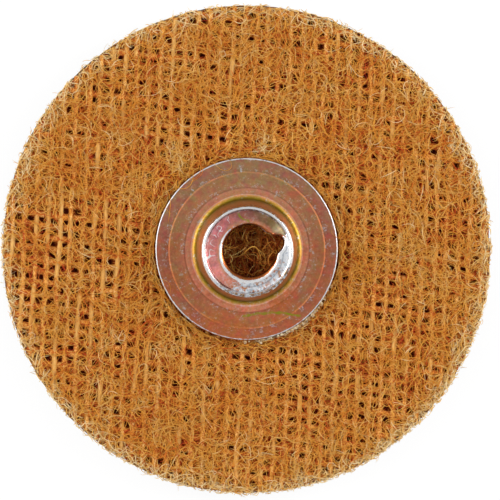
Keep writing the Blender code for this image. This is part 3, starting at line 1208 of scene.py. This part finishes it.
class Zone(Enum):
    """Parts of the button's outline, from the flange's lower edge on: their stations, and roughness."""

    FLANGE_EDGE = (0.0, 0.06, 0.3)
    FLANGE_TOP = (0.06, 0.40, 0.34)
    FOOT = (0.40, 0.50, 0.36)
    NECK = (0.50, 0.58, 0.24)
    RIM = (0.58, 0.72, 0.18)
    LIP = (0.72, 0.86, 0.3)
    LIP_EDGE = (0.86, 0.92, 0.2)
    INSIDE = (0.92, 1.0, 0.4)

    def holds(self, stations: Array) -> Array:
        """Whether each station is in this zone, past its start and up to its end."""
        return (stations > self.value[0]) & (stations <= self.value[1])


@dataclass(frozen=True)
class StainArc:
    """A thin green dye line on the button: the part of a circle inside a window, in millimetres."""

    centre: Pair
    radius: float
    half_width: float
    across: Pair
    along: Pair


@dataclass(frozen=True)
class YellowChromateFinish:
    """Zinc plate under a yellow chromate film, on stamped steel.

    The film is thin enough to shift from copper to mauve, pink, gold and olive, in clouds and in fine
    specks. It has worn through to white zinc on the edges that rub. The attribute "station" is the place
    along the stamped outline, "wear" is how much that place rubs, with painted highlight and
    shade added in places, and "polish" is its roughness. "descent" is the place along the lip, "on_lip"
    and "scratched" say how much of it counts as lip and as its scratched part, and "groove" is a
    painted shade line outside the bevel. Some of the film's stops are painted shade and highlight.
    """

    name: str = "yellow_chromated_zinc"
    film: Stops = (
        # Stops 0.168 to 0.196: the crease's dark line and salmon line, painted shade and highlight of the
        # bend.
        (0.0, "#8C6A5C"), (0.05, "#B08A78"), (0.075, "#AA6A50"), (0.168, "#A4644A"), (0.175, "#824C36"),
        (0.180, "#DA8856"), (0.190, "#DA8856"), (0.196, "#AE744A"), (0.325, "#B87652"),
        (0.335, "#985A40"), (0.345, "#D88868"), (0.378, "#E08E68"), (0.392, "#D88864"),
        (0.399, "#FCC0A2"), (0.408, "#DC9E5A"), (0.43, "#BC9038"), (0.452, "#98841E"),
        (0.49, "#746A16"), (0.515, "#947026"), (0.54, "#B47E30"), (0.58, "#B87C34"), (0.62, "#A87238"),
        # Stop 0.70, dark grey: painted shadow along the rim's inner step.
        (0.645, "#7E562C"), (0.68, "#C8A07C"), (0.70, "#4A4644"), (0.73, "#8A5A4C"), (0.84, "#C8886C"),
        # Stops 0.868 to 0.93 darken as the lip's edge rolls down into the bore: painted shade.
        (0.868, "#D08C64"), (0.88, "#B0662E"), (0.896, "#7E3E18"), (0.93, "#6A3212"), (0.94, "#F0C090"),
    )
    lip_film: Stops = (
        (0.0, "#C88A58"), (0.3, "#D08450"), (0.45, "#E69488"), (0.66, "#D8847E"), (0.8, "#A66A5A"),
        (0.88, "#9A6E54"), (0.94, "#9A7A50"), (0.97, "#A88C60"), (0.995, "#D8C49C"),
    )
    zinc: Stops = ((0.0, "#868E9A"), (0.38, "#AAB2BC"), (0.5, "#DCDFE4"), (1.0, "#F6F1EA"))
    olive: str = "#9C885A"
    pink: str = "#B45C5E"
    orange: str = "#C06A2A"
    scuff: str = "#BEC1C8"
    scratch: str = "#F0EEEC"
    # Blue-grey of the painted shade line outside the bevel.
    shade_line_colour: str = "#6E7684"
    dye: str = "#868A20"
    metallic: float = 0.92
    grain_mm: float = 0.02
    stains: tuple[StainArc, ...] = (
        StainArc((2.58, -19.4), 12.9, 0.115, (-0.5, 5.6), (-8.0, -6.0)),
        StainArc((0.25, 4.45), 1.3, 0.1, (-1.1, 0.2), (3.0, 3.95)),
    )

    def dye_share(self, node: Adder, place: Socket, patches: Socket) -> Socket:
        """Marks the dye lines, bent by up to 0.2 mm and thinned to between 0.4 and 0.95 by a noise.

        Formula: a point is on an arc where its distance from the arc's centre differs from the radius by
        less than the half width, and both its x and its y lie in the arc's window.

        Args:
            node: Adds a node to the material.
            place: Socket with the place, in metres.
            patches: Socket with a noise.

        Returns:
            Socket with the share of dye, which is 0 off the lines.
        """
        bend = node("TexNoise", {"Vector": place, "Scale": 1.0 / MM, "Detail": 4.0}, "Color")
        bent = node("VectorMath", (bend, (0.6 * MM, 0.6 * MM, 0.0), place), operation="MULTIPLY_ADD")
        bent = node("VectorMath", (bent, (0.3 * MM, 0.3 * MM, 0.0)), operation="SUBTRACT")
        x, y = (node("SeparateXYZ", (bent,), axis) for axis in "XY")
        flat = node("CombineXYZ", (x, y))
        union: Socket | float = 0.0
        for arc in self.stains:
            centre = (arc.centre[0] * MM, arc.centre[1] * MM, 0.0)
            gap = node("VectorMath", (flat, centre), "Value", operation="DISTANCE")
            mark = node("Math", (gap, arc.radius * MM, arc.half_width * MM), operation="COMPARE")
            for part, (low, high) in ((x, arc.across), (y, arc.along)):
                window = (part, (low + high) / 2 * MM, (high - low) / 2 * MM)
                inside = node("Math", window, operation="COMPARE")
                mark = node("Math", (mark, inside), operation="MULTIPLY")
            union = node("Math", (union, mark), operation="MAXIMUM")
        share = node("MapRange", (patches, 0.38, 0.6, 0.95, 0.4))
        return node("Math", (union, share), operation="MULTIPLY")

    def blended(
        self, node: Adder, under: Socket, over: str, driver: Socket, span: Pair, most: float
    ) -> Socket:
        """Lays one more colour over another where a driver passes a span.

        Formula: the share goes from 0 to the greatest share as the driver goes from the span's first
        number to its second.

        Args:
            node: Adds a node to the material.
            under: Socket with the colour below.
            over: Hex colour to lay over it.
            driver: Socket with the driving number.
            span: Driver values for no share and for the greatest share.
            most: Greatest share.

        Returns:
            Socket with the mixed colour.
        """
        share = node("MapRange", (driver, *span, 0.0, most))
        return node("Mix", {0: share, 6: under, 7: over}, 2, data_type="RGBA")

    def material(self) -> Material:
        """Builds the plated steel material."""
        material, node, shader = start_material(self.name)
        station, wear, polish, descent, on_lip, scratched, groove = (
            node("Attribute", out="Fac", attribute_name=key)
            for key in ("station", "wear", "polish", "descent", "on_lip", "scratched", "groove")
        )
        place = node("TexCoord", out="Object")
        x_and_y = node("VectorMath", (place, (1, 1, 0)), operation="MULTIPLY")
        reach = node("VectorMath", (x_and_y,), "Value", operation="LENGTH")
        height = node("SeparateXYZ", (place,), "Z")
        turned = node("CombineXYZ", {0: reach, 2: height})
        # Features to the millimetre, detail and roughness of each noise.
        clouds, patches, grains, blots, flecks, rings = (
            node("TexNoise", {"Vector": spot, "Scale": per_mm / MM, "Detail": detail, "Roughness": rough})
            for spot, per_mm, detail, rough in (
                (place, 0.3, 3.0, 0.5),
                (place, 1.1, 5.0, 0.62),
                (place, 4.2, 6.0, 0.8),
                (place, 2.2, 4.0, 0.6),
                (place, 2.6, 4.0, 0.65),
                (turned, 5.0, 3.0, 0.6),
            )
        )
        film = node("ValToRGB", (station,), stops=self.film)
        lip = node("ValToRGB", (descent,), stops=self.lip_film)
        film = node("Mix", {0: on_lip, 6: film, 7: lip}, 2, data_type="RGBA")

        # The film leans to olive at the top of the flange and to orange at its bottom, in clouds.
        upward = node("MapRange", (node("SeparateXYZ", (place,), "Y"), -9 * MM, 9 * MM))
        lean = node("Math", (clouds, 1.4, upward), operation="MULTIPLY_ADD")
        lean = node("Math", (patches, 1.6, lean), operation="MULTIPLY_ADD")
        toned = self.blended(node, film, self.olive, lean, (1.9, 2.6), 0.6)
        toned = self.blended(node, toned, self.orange, lean, (1.98, 1.42), 0.72)
        toned = self.blended(node, toned, self.pink, patches, (0.5, 0.36), 0.32)
        on_flange = node("MapRange", (station, 0.41, 0.395))
        tone = node("Mix", {0: on_flange, 6: film, 7: toned}, 2, data_type="RGBA")

        # Slight changes of hue, and of brightness in rings, blots and grains.
        hue_noise = {"Vector": place, "Scale": 1.5 / MM, "Detail": 5.0, "Roughness": 0.66}
        hues = node("TexNoise", hue_noise, "Color")
        spread, least = (0.34, 0.3, 0.3), (0.2, 0.215, 0.237)
        jitter = node("VectorMath", (hues, spread, least), operation="MULTIPLY_ADD")
        tone = node("VectorMath", (tone, jitter), operation="MULTIPLY")
        streak = node("MapRange", (rings, 0.3, 0.7, 0.84, 1.18))
        spots = node("MapRange", (patches, 0.36, 0.64, -0.5, 0.5))
        for pattern, factor in ((blots, 0.8), (grains, 2.2), (spots, on_lip)):
            streak = node("Math", (pattern, factor, streak), operation="MULTIPLY_ADD")
        tone = node("VectorMath", {0: tone, "Scale": streak}, operation="SCALE")

        # Scuffs, and curved scratches on part of the lip.
        scuffed = node("Math", (wear, 0.35, grains), operation="MULTIPLY_ADD")
        scuffed = node("Math", (patches, 0.7, scuffed), operation="MULTIPLY_ADD")
        tone = self.blended(node, tone, self.scuff, scuffed, (0.955, 1.07), 0.6)
        scratch = node("Math", (curl_lines(node, place, 0.9, 0.012, 1), scratched), operation="MULTIPLY")
        scratch = node("Math", (scratch, 0.6, patches), operation="MULTIPLY_ADD")
        tone = self.blended(node, tone, self.scratch, scratch, (0.98, 1.06), 1.0)

        # Bare zinc, greyer where it rubs less and whiter where painted highlight is added, then the
        # painted shade line outside the bevel, and dye.
        rubbed = node("Math", (grains, 0.8, wear), operation="MULTIPLY_ADD")
        rubbed = node("Math", (blots, 1.5, rubbed), operation="MULTIPLY_ADD")
        share = node("MapRange", (rubbed, 1.62, 1.78))
        flecks = node("Math", (wear, 0.4, flecks), operation="MULTIPLY_ADD")
        bared = node("ValToRGB", (node("Math", (flecks, -0.24), operation="ADD"),), stops=self.zinc)
        worn = node("Mix", {0: share, 6: tone, 7: bared}, 2, data_type="RGBA")
        worn = self.blended(node, worn, self.shade_line_colour, groove, (0.2, 1.0), 0.6)
        share = self.dye_share(node, place, patches)
        dyed = node("Mix", {0: share, 6: worn, 7: self.dye}, 2, data_type="RGBA")
        gloss = node("Math", (grains, 0.16, polish), operation="MULTIPLY_ADD")
        bump = node("Bump", {"Strength": 0.5, "Distance": self.grain_mm * MM, "Height": grains})
        fill(shader, {"Base Color": dyed, "Roughness": gloss, "Normal": bump, "Metallic": self.metallic})
        return material


@dataclass
class StampedButton:
    """The steel button: flange, drafted neck, and a lip cut at a notch and bent into a thread turn."""

    disc: Disc = field(default_factory=Disc)
    sheet: float = 0.85
    edge_round: float = 0.09
    foot_fillet: float = 0.5
    neck_top_radius: float = 4.78
    neck_draft: float = 0.5
    neck_height: float = 4.6
    rim_round: float = 0.3
    rim_width: float = 0.42
    lip_lead: float = 1.27
    lip_start_drop: float = 0.15
    lip_step_width: float = 0.12
    opening_radius: float = 2.66
    opening_shift: Pair = (0.22, 0.06)
    bevel_radius: float = 3.06
    bevel_shift: Pair = (0.15, -0.14)
    bevel_depth: float = 0.45
    bevel_least: float = 0.14
    groove_off: float = 0.46
    groove_half: float = 0.07
    dent_height: float = 0.02
    flange_shift: Pair = (-0.03, 0.10)
    high_end_deg: float = -6.0
    low_end_deg: float = 35.0
    root_end_deg: float = 22.0
    notch: tuple[Pair, ...] = (
        (-30.0, 2.87), (-14.0, 2.95), (-8.0, 2.96), (-5.0, 2.99), (-1.5, 3.17), (3.0, 3.42),
        (7.4, 3.61), (11.0, 3.75), (15.0, 3.83), (21.3, 3.84), (25.0, 3.77), (28.0, 3.60), (30.5, 3.25),
        (34.0, 3.06), (40.0, 2.85), (46.0, 2.68), (54.0, 2.72), (64.0, 2.80), (78.0, 2.79),
    )
    crease_radius: float = 8.1
    crease_drop: float = 0.02
    crease_depth: float = 0.008
    crease_half: float = 0.06
    inner_raise: float = 0.02
    lip_dish: float = 0.05
    dent_mm: float = 2.2
    turns: int = 300

    def lip_levels(self, degrees: Array) -> Array:
        """Height of the lip's upper face above the flange's underside.

        Formula: from the notch's high end it falls by one lead over the way round to the low end, in
        proportion to the angle. It climbs back by a smooth step from the low end to the notch's root,
        and stays high from there to the high end. The step down from the rim grows over the first part.

        Args:
            degrees: Angles round the axis.

        Returns:
            One height for each angle.
        """
        past = (degrees - self.high_end_deg) % 360
        span = self.low_end_deg - self.high_end_deg
        climbing = smoothstep(self.root_end_deg - self.high_end_deg, span, past)
        falling = (360 - past) / (360 - span)
        share = np.where(past < span, climbing, falling)
        drop = self.lip_start_drop * (0.2 + 0.8 * smoothstep(0.1, 0.4, share))
        return self.neck_height - drop - self.lip_lead * share

    def descent(self, degrees: Array) -> Array:
        """Share of the lip's way down at each angle, clockwise from its high end.

        Formula: the angle from the high end over the whole way to the low end, at most 1. The facet that
        climbs back through the notch is as worn as the high end, so it counts as 0.02.

        Args:
            degrees: Angles round the axis.

        Returns:
            The share at each angle.
        """
        share = (self.high_end_deg - degrees) % 360 / (360 - self.low_end_deg + self.high_end_deg)
        in_notch = (degrees - self.high_end_deg + 1) % 360 < self.root_end_deg - self.high_end_deg + 3
        return np.where(in_notch, 0.02, np.minimum(share, 1.0))

    def off_centre(self, degrees: Array, radius: float, shift: Pair) -> Array:
        """Distance from the axis to a circle that isn't centred on it.

        Formula: with e the centre's distance from the axis and a the angle from its direction, e cos a
        plus the square root of the radius squared minus the square of e sin a.

        Args:
            degrees: Angles round the axis.
            radius: The circle's radius.
            shift: The circle's centre.

        Returns:
            One distance for each angle.
        """
        away = np.radians(degrees) - math.atan2(shift[1], shift[0])
        off = math.hypot(*shift)
        return off * np.cos(away) + np.sqrt(radius**2 - (off * np.sin(away)) ** 2)

    def opening(self, degrees: Array) -> tuple[Array, Array]:
        """Distances from the axis to the lip's inner edge and to the start of the bevel before it.

        Formula: both are circles off the axis. In the notch, the edge is read between the notch's own
        corner points. The bevel has a least width.

        Args:
            degrees: Angles round the axis.

        Returns:
            Radius of the edge and of the bevel's start at each angle.
        """
        turned = (degrees + 180) % 360 - 180
        places, reaches = zip(*self.notch)
        in_notch = (turned > places[0]) & (turned < places[-1])
        circle = self.off_centre(degrees, self.opening_radius, self.opening_shift)
        edge = np.where(in_notch, np.interp(turned, places, reaches), circle)
        bevel = self.off_centre(degrees, self.bevel_radius, self.bevel_shift)
        return edge, np.maximum(bevel, edge + self.bevel_least)

    def outline(self, degrees: Array) -> tuple[Array, ...]:
        """Works out the sheet's closed outline at every angle.

        Formula: rounds are arcs of a centre plus a radius times cosine and sine, and the lip's bevel is
        a quarter of an ellipse. Straight stretches are even steps between their ends. The flange's top
        dips by a narrow hollow at the crease and stays a little lower outside it.

        Args:
            degrees: Angles round the axis.

        Returns:
            Radii and heights, each as outline point by angle, and the stations, wear and roughness, each
            as one number to an outline point.
        """
        count = len(degrees)
        stretches: list[tuple[Array, ...]] = []

        def add(zone: Zone, r: Array, z: Array, shares: Pair | Array, rub_and_light: float | Array = 0.0) -> None:
            """Adds one stretch of the outline.

            Args:
                zone: Zone that the stretch belongs to.
                r: Radii, as a column or as outline point by angle.
                z: Heights, in the same way.
                shares: First and last share of the zone, or the share at each point.
                rub_and_light: Wear of the whole stretch, or of each point. Painted highlight and shade
                    are added to it later.
            """
            r, z = np.broadcast_arrays(r, z)
            steps = len(r)
            low, high, rough = zone.value
            share = shares if isinstance(shares, np.ndarray) else np.linspace(*shares, steps)
            wide = (np.broadcast_to(part, (steps, count)) for part in (r, z))
            single = (np.broadcast_to(part, steps) for part in (low + (high - low) * share, rub_and_light, rough))
            stretches.append((*wide, *single))

        def arc(radius: float, start: float, end: float, steps: int) -> tuple[Array, Array]:
            """Offsets of an arc from its centre, as columns."""
            angle = np.radians(np.linspace(start, end, steps))[:, None]
            return radius * np.cos(angle), radius * np.sin(angle)

        edge = self.edge_round
        out = self.disc.flange_radius
        foot_height = self.sheet + self.foot_fillet
        mouth = self.neck_top_radius + self.neck_draft + self.foot_fillet
        lip_top = self.lip_levels(degrees)[None, :]
        lip_base = lip_top - self.sheet
        draft_share = np.minimum((self.neck_height - lip_base) / (self.neck_height - foot_height), 1.0)
        wall = self.neck_top_radius + self.neck_draft * draft_share - self.sheet
        opening, bevel = (part[None, :] for part in self.opening(degrees))

        dr, dz = arc(edge, -90, 0, 4)
        add(Zone.FLANGE_EDGE, out - edge + dr, edge + dz, (0.0, 0.3), 0.2)
        dr, dz = arc(edge, 0, 90, 6)
        add(Zone.FLANGE_EDGE, out - edge + dr, self.sheet - edge + dz, (0.35, 1.0), 0.85)
        tops = np.array([9.28, 9.15, 8.95, 8.7, 8.4, 8.22, 8.16, 8.12, 8.08, 8.04, 7.98, 7.85, 7.5, 7.1])
        tops = np.concatenate([tops, [6.78, 6.68, 6.6, 6.4, 6.15, 5.95]])[:, None]
        off_crease = (tops - self.crease_radius) / self.crease_half
        hollow = self.crease_depth * np.exp(-(off_crease**2))
        lower = self.crease_drop * smoothstep(self.crease_radius - 0.08, self.crease_radius + 0.08, tops)
        raised = self.inner_raise * smoothstep(6.75, 6.62, tops)
        share = (out - tops) / (out - mouth)
        scuffed_rings = ((tops > 8.13) & (tops < 8.6)) | ((tops > 6.55) & (tops < 6.8))
        rub_and_light = np.where(scuffed_rings, 0.16, 0.0)
        add(Zone.FLANGE_TOP, tops, self.sheet - hollow - lower + raised, share[:, 0], rub_and_light[:, 0])
        dr, dz = arc(self.foot_fillet, 270, 180, 9)
        add(Zone.FOOT, mouth + dr, foot_height + dz, (0.0, 1.0), 0.12)
        rise = np.linspace(0.12, 0.95, 5)[:, None]
        neck_top = self.neck_height - self.rim_round
        slope = self.neck_top_radius + self.neck_draft * (1 - rise)
        add(Zone.NECK, slope, foot_height + (neck_top - foot_height) * rise, (0.0, 1.0))
        dr, dz = arc(self.rim_round, 0, 90, 7)
        add(Zone.RIM, self.neck_top_radius - self.rim_round + dr, neck_top + dz, (0.05, 0.6), 0.75)
        crest = self.neck_top_radius - self.rim_width
        drops = np.array([[0.02], [0.08]])
        add(Zone.RIM, np.array([[crest + 0.04], [crest]]), self.neck_height - drops, (0.68, 0.8), 0.6)
        step = np.full((1, count), crest - self.lip_step_width * 0.55)
        add(Zone.RIM, step, lip_top * 0.75 + (self.neck_height - 0.1) * 0.25, (0.95, 0.95), 0.1)
        lip_out = crest - self.lip_step_width
        across = np.linspace(0, 1, 15)[:, None]
        dish = self.lip_dish * np.sin(across * math.pi)
        add(Zone.LIP, lip_out + (bevel + 0.1 - lip_out) * across, lip_top - dish, (0.0, 1.0))
        round_off = np.radians(np.linspace(0, 90, 9))[1:, None]
        depth = self.bevel_depth * (1 - 0.75 * smoothstep(0.82, 0.92, self.descent(degrees)))
        rounded = opening + (bevel + 0.1 - opening) * (1 - np.sin(round_off))
        add(Zone.LIP_EDGE, rounded, lip_top - depth * (1 - np.cos(round_off)), (0.1, 1.0))
        cut = np.array([[0.0], [0.06]])
        add(Zone.INSIDE, opening + cut, lip_base + cut[::-1], (0.0, 0.1))
        down = np.linspace(0, 1, 6)[:, None]
        foot_wall = self.neck_top_radius + self.neck_draft - self.sheet
        inner = wall + (foot_wall - wall) * down
        add(Zone.INSIDE, inner, lip_base + (foot_height - lip_base) * down * 0.95, (0.2, 0.6))
        dr, dz = arc(self.foot_fillet + self.sheet, 180, 270, 8)
        add(Zone.INSIDE, mouth + dr[1:], foot_height + dz[1:], (0.7, 1.0))
        add(Zone.INSIDE, np.array([[7.2], [8.6]]), np.zeros((2, 1)), (1.0, 1.0))
        return tuple(np.concatenate(part) for part in zip(*stretches))

    def build(self) -> list[Piece]:
        """Carries the outline round the axis.

        Formula: a point is (radius cos turn, radius sin turn, base plus height), plus small dents. The
        flange's outer edge is off the neck's axis by the flange's shift, which fades out towards the
        crease. The descent is the share of the lip's way down, clockwise from its high end. The rim is
        rubbed white, but only in patches near the high end, where the lip is rubbed too. The bevel is
        white at its start, and near the low end at its last edge instead: rubbed zinc with painted
        highlight. A painted shade line runs outside the bevel. The flange's edge is rubbed less at the
        bottom and has painted highlight at the left and right. The rim's outer round is kept darker at
        the top as painted shade.

        Returns:
            The button's piece.
        """
        degrees = np.linspace(0, 360, self.turns, endpoint=False)
        radii, heights, stations, wear, polish = self.outline(degrees)
        turn = np.radians(degrees)[None, :]
        dents = smooth_noise(polar(radii, turn) / self.dent_mm + 70.0, 91) - 0.5
        fade = smoothstep(self.crease_radius, self.disc.flange_radius - 0.2, radii)[..., None]
        flat = polar(radii, turn) + fade * np.array(self.flange_shift)
        level = self.disc.flange_base + heights + self.dent_height * dents
        points = lifted(flat, level)

        station = stations[:, None]
        on_rim, on_lip, on_round = (zone.holds(station) for zone in (Zone.RIM, Zone.LIP, Zone.LIP_EDGE))
        on_edge = station < Zone.FLANGE_EDGE.value[1]
        on_step = (station > 0.69) & (station < 0.725)
        descent = self.descent(degrees)
        mottled = smoothstep(0.0, 0.07, descent) * (1 - smoothstep(0.36, 0.46, descent))
        fresh = 1 - smoothstep(0.3, 0.42, descent)
        waves = smooth_noise(polar(np.full_like(turn, 2.2), turn) + 30.0, 92) - 0.5
        down = (station - Zone.LIP_EDGE.value[0]) / 0.06
        # The rim's outer round is kept darker at the top: painted shade.
        shaded_top_round = smoothstep(0.655, 0.64, station) * smoothstep(0.35, 0.8, np.sin(turn))
        rub_and_light = wear[:, None] + np.zeros_like(turn)
        rub_and_light += on_rim * (0.45 - 0.7 * mottled)
        rub_and_light -= shaded_top_round * on_rim
        rub_and_light += on_lip * (0.85 - 0.27 * mottled) * fresh
        rub_and_light += on_step * 0.75 * fresh
        # The bevel's start is white over the bottom and the left, and so is its last edge near the low
        # end: rubbed zinc with painted highlight.
        rub_and_light += on_round * smoothstep(0.36, 0.16, down) * (1.3 - smoothstep(0.62, 0.78, descent))
        rub_and_light += on_round * smoothstep(0.6, 0.9, down) * smoothstep(0.84, 0.92, descent)
        # The flange's edge is whiter at the left and right, by a cosine of twice the angle: painted
        # highlight. It is also rubbed less at the bottom, and in random waves.
        low_side = smoothstep(0.2, 0.9, -np.sin(turn))
        rub_and_light += on_edge * (0.2 * np.cos(2 * turn) + 0.5 * waves - 0.3 * low_side)
        _, bevel = self.opening(degrees)
        # A thin line just outside the bevel: painted shade.
        groove = np.exp(-(((radii - bevel - self.groove_off) / self.groove_half) ** 2))
        lip_share = on_lip * smoothstep(Zone.LIP.value[1] + 0.005, Zone.LIP.value[1] - 0.05, station)
        scratched = smoothstep(0.4, 0.5, descent) * smoothstep(0.8, 0.72, descent)
        values = {
            "station": np.repeat(stations, self.turns),
            "wear": rub_and_light,
            "polish": polish[:, None] + 0.35 * on_lip * smoothstep(0.88, 0.95, descent),
            "descent": np.tile(descent, len(stations)),
            "on_lip": np.repeat(lip_share, self.turns),
            "groove": on_lip * groove * smoothstep(0.4, 0.28, descent),
            "scratched": lip_share * scratched,
        }
        faces = [grid_quads(len(stations), self.turns, True)]
        material = YellowChromateFinish().material()
        obj = mesh_object("stamped_button", points.reshape(-1, 3), faces, material, values)
        return [Piece(obj, "threaded_button", ("threaded_button",))]


# Studio


@dataclass(frozen=True)
class Softbox:
    """A square lamp that faces the disc. Place in metres, width in metres and power in watts."""

    name: str
    place: tuple[float, float, float]
    width: float
    power: float


@dataclass
class Studio:
    """A white floor, soft lamps, and a long lens almost straight above the disc."""

    disc: Disc = field(default_factory=Disc)
    lens: float = 400.0
    sensor_mm: float = 36.0
    frame_mm: float = 51.95
    aim_mm: Pair = (0.342, -0.025)
    aim_height_mm: float = 4.3
    tilt_deg: float = 2.45
    tilt_towards: Pair = (-0.5, 0.86)
    ambient: float = 0.64
    floor_glow: float = 1.02
    floor_glow_share: float = 0.88
    floor_half_mm: float = 1500.0
    floor_level_mm: float = -0.01
    lamps: tuple[Softbox, ...] = (
        Softbox("lamp_left", (-0.36, 0.08, 0.27), 0.3, 1.3),
        Softbox("lamp_right", (0.36, 0.09, 0.27), 0.2, 1.3),
    )

    def camera(self) -> None:
        """Places the camera.

        Formula: the distance is the frame's width times the lens over the sensor's width. The camera
        stands that far from the aim point, tilted from the vertical towards the photo's top left.
        """
        data = bpy.data.cameras.new("portrait_camera")
        data.lens = self.lens
        data.sensor_width = self.sensor_mm
        distance = self.frame_mm * self.lens / self.sensor_mm * MM
        data.clip_start = 0.01
        data.clip_end = 20.0
        tilt = math.radians(self.tilt_deg)
        level = mathutils.Vector((*self.tilt_towards, 0.0)).normalized()
        away = level * math.sin(tilt) + mathutils.Vector((0, 0, 1)) * math.cos(tilt)
        aim = mathutils.Vector((*self.aim_mm, self.aim_height_mm)) * MM
        camera = bpy.data.objects.new("portrait_camera", data)
        camera.location = aim + away * distance
        right = mathutils.Vector((0, 1, 0)).cross(away).normalized()
        axes = mathutils.Matrix((right, away.cross(right), away)).transposed()
        camera.rotation_euler = axes.to_euler()
        bpy.context.scene.collection.objects.link(camera)
        bpy.context.scene.camera = camera

    def lights(self) -> None:
        """Hangs the lamps, each turned to the disc, and sets the even light of the room."""
        for box in self.lamps:
            data = bpy.data.lights.new(box.name, "AREA")
            data.size = box.width
            data.energy = box.power
            lamp = bpy.data.objects.new(box.name, data)
            lamp.location = box.place
            lamp.rotation_euler = (-mathutils.Vector(box.place)).to_track_quat("-Z", "Y").to_euler()
            bpy.context.scene.collection.objects.link(lamp)
        world = bpy.data.worlds.new("even_room")
        world.use_nodes = True
        fill(world.node_tree.nodes["Background"], {"Color": "#FFFFFF", "Strength": self.ambient})
        bpy.context.scene.world = world

    def floor(self) -> None:
        """Lays the white floor.

        It is matt white, and to the camera and in reflections it is mostly its own full white, so that
        only the contact shadow of the disc is left on it.
        """
        material, node, shader = start_material("white_floor")
        tree = material.node_tree
        tree.nodes.remove(shader)
        seen: Socket | float = 0.0
        for ray in ("Is Camera Ray", "Is Glossy Ray", "Is Transmission Ray"):
            seen = node("Math", (seen, node("LightPath", out=ray)), operation="MAXIMUM")
        share = node("Math", (seen, self.floor_glow_share), operation="MULTIPLY")
        matt = node("BsdfDiffuse", {"Color": "#FAFAFA"})
        glow = node("Emission", {"Color": "#FFFFFF", "Strength": self.floor_glow})
        fill(tree.nodes["Material Output"], {"Surface": node("MixShader", (share, matt, glow))})
        half, level = self.floor_half_mm, self.floor_level_mm
        corners = [(-half, -half, level), (half, -half, level), (half, half, level), (-half, half, level)]
        mesh_object("floor", np.array(corners), [np.array([[0, 1, 2, 3]])], material)

    def build(self) -> None:
        """Sets up camera, light and floor."""
        self.camera()
        self.lights()
        self.floor()


def triangles(obj: Object) -> int:
    """Number of triangles of an object's mesh."""
    return len(obj.data.loops) - 2 * len(obj.data.polygons)


def main() -> None:
    """Dresses the disc and sets up its portrait."""
    logging.basicConfig(level=logging.INFO, format="%(name)s: %(message)s")
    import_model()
    Studio().build()
    for assembly in (AbrasiveWeb(), Scrim(), NeedledFibres(), Bond(), StampedButton()):
        for piece in assembly.build():
            if piece.stands_for:
                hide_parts(*piece.stands_for)
            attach(piece.obj, BODY)
            LOG.info("%s: %d triangles", piece.obj.name, triangles(piece.obj))
    bpy.context.scene.view_settings.view_transform = "Standard"


if __name__ == "__main__":
    main()
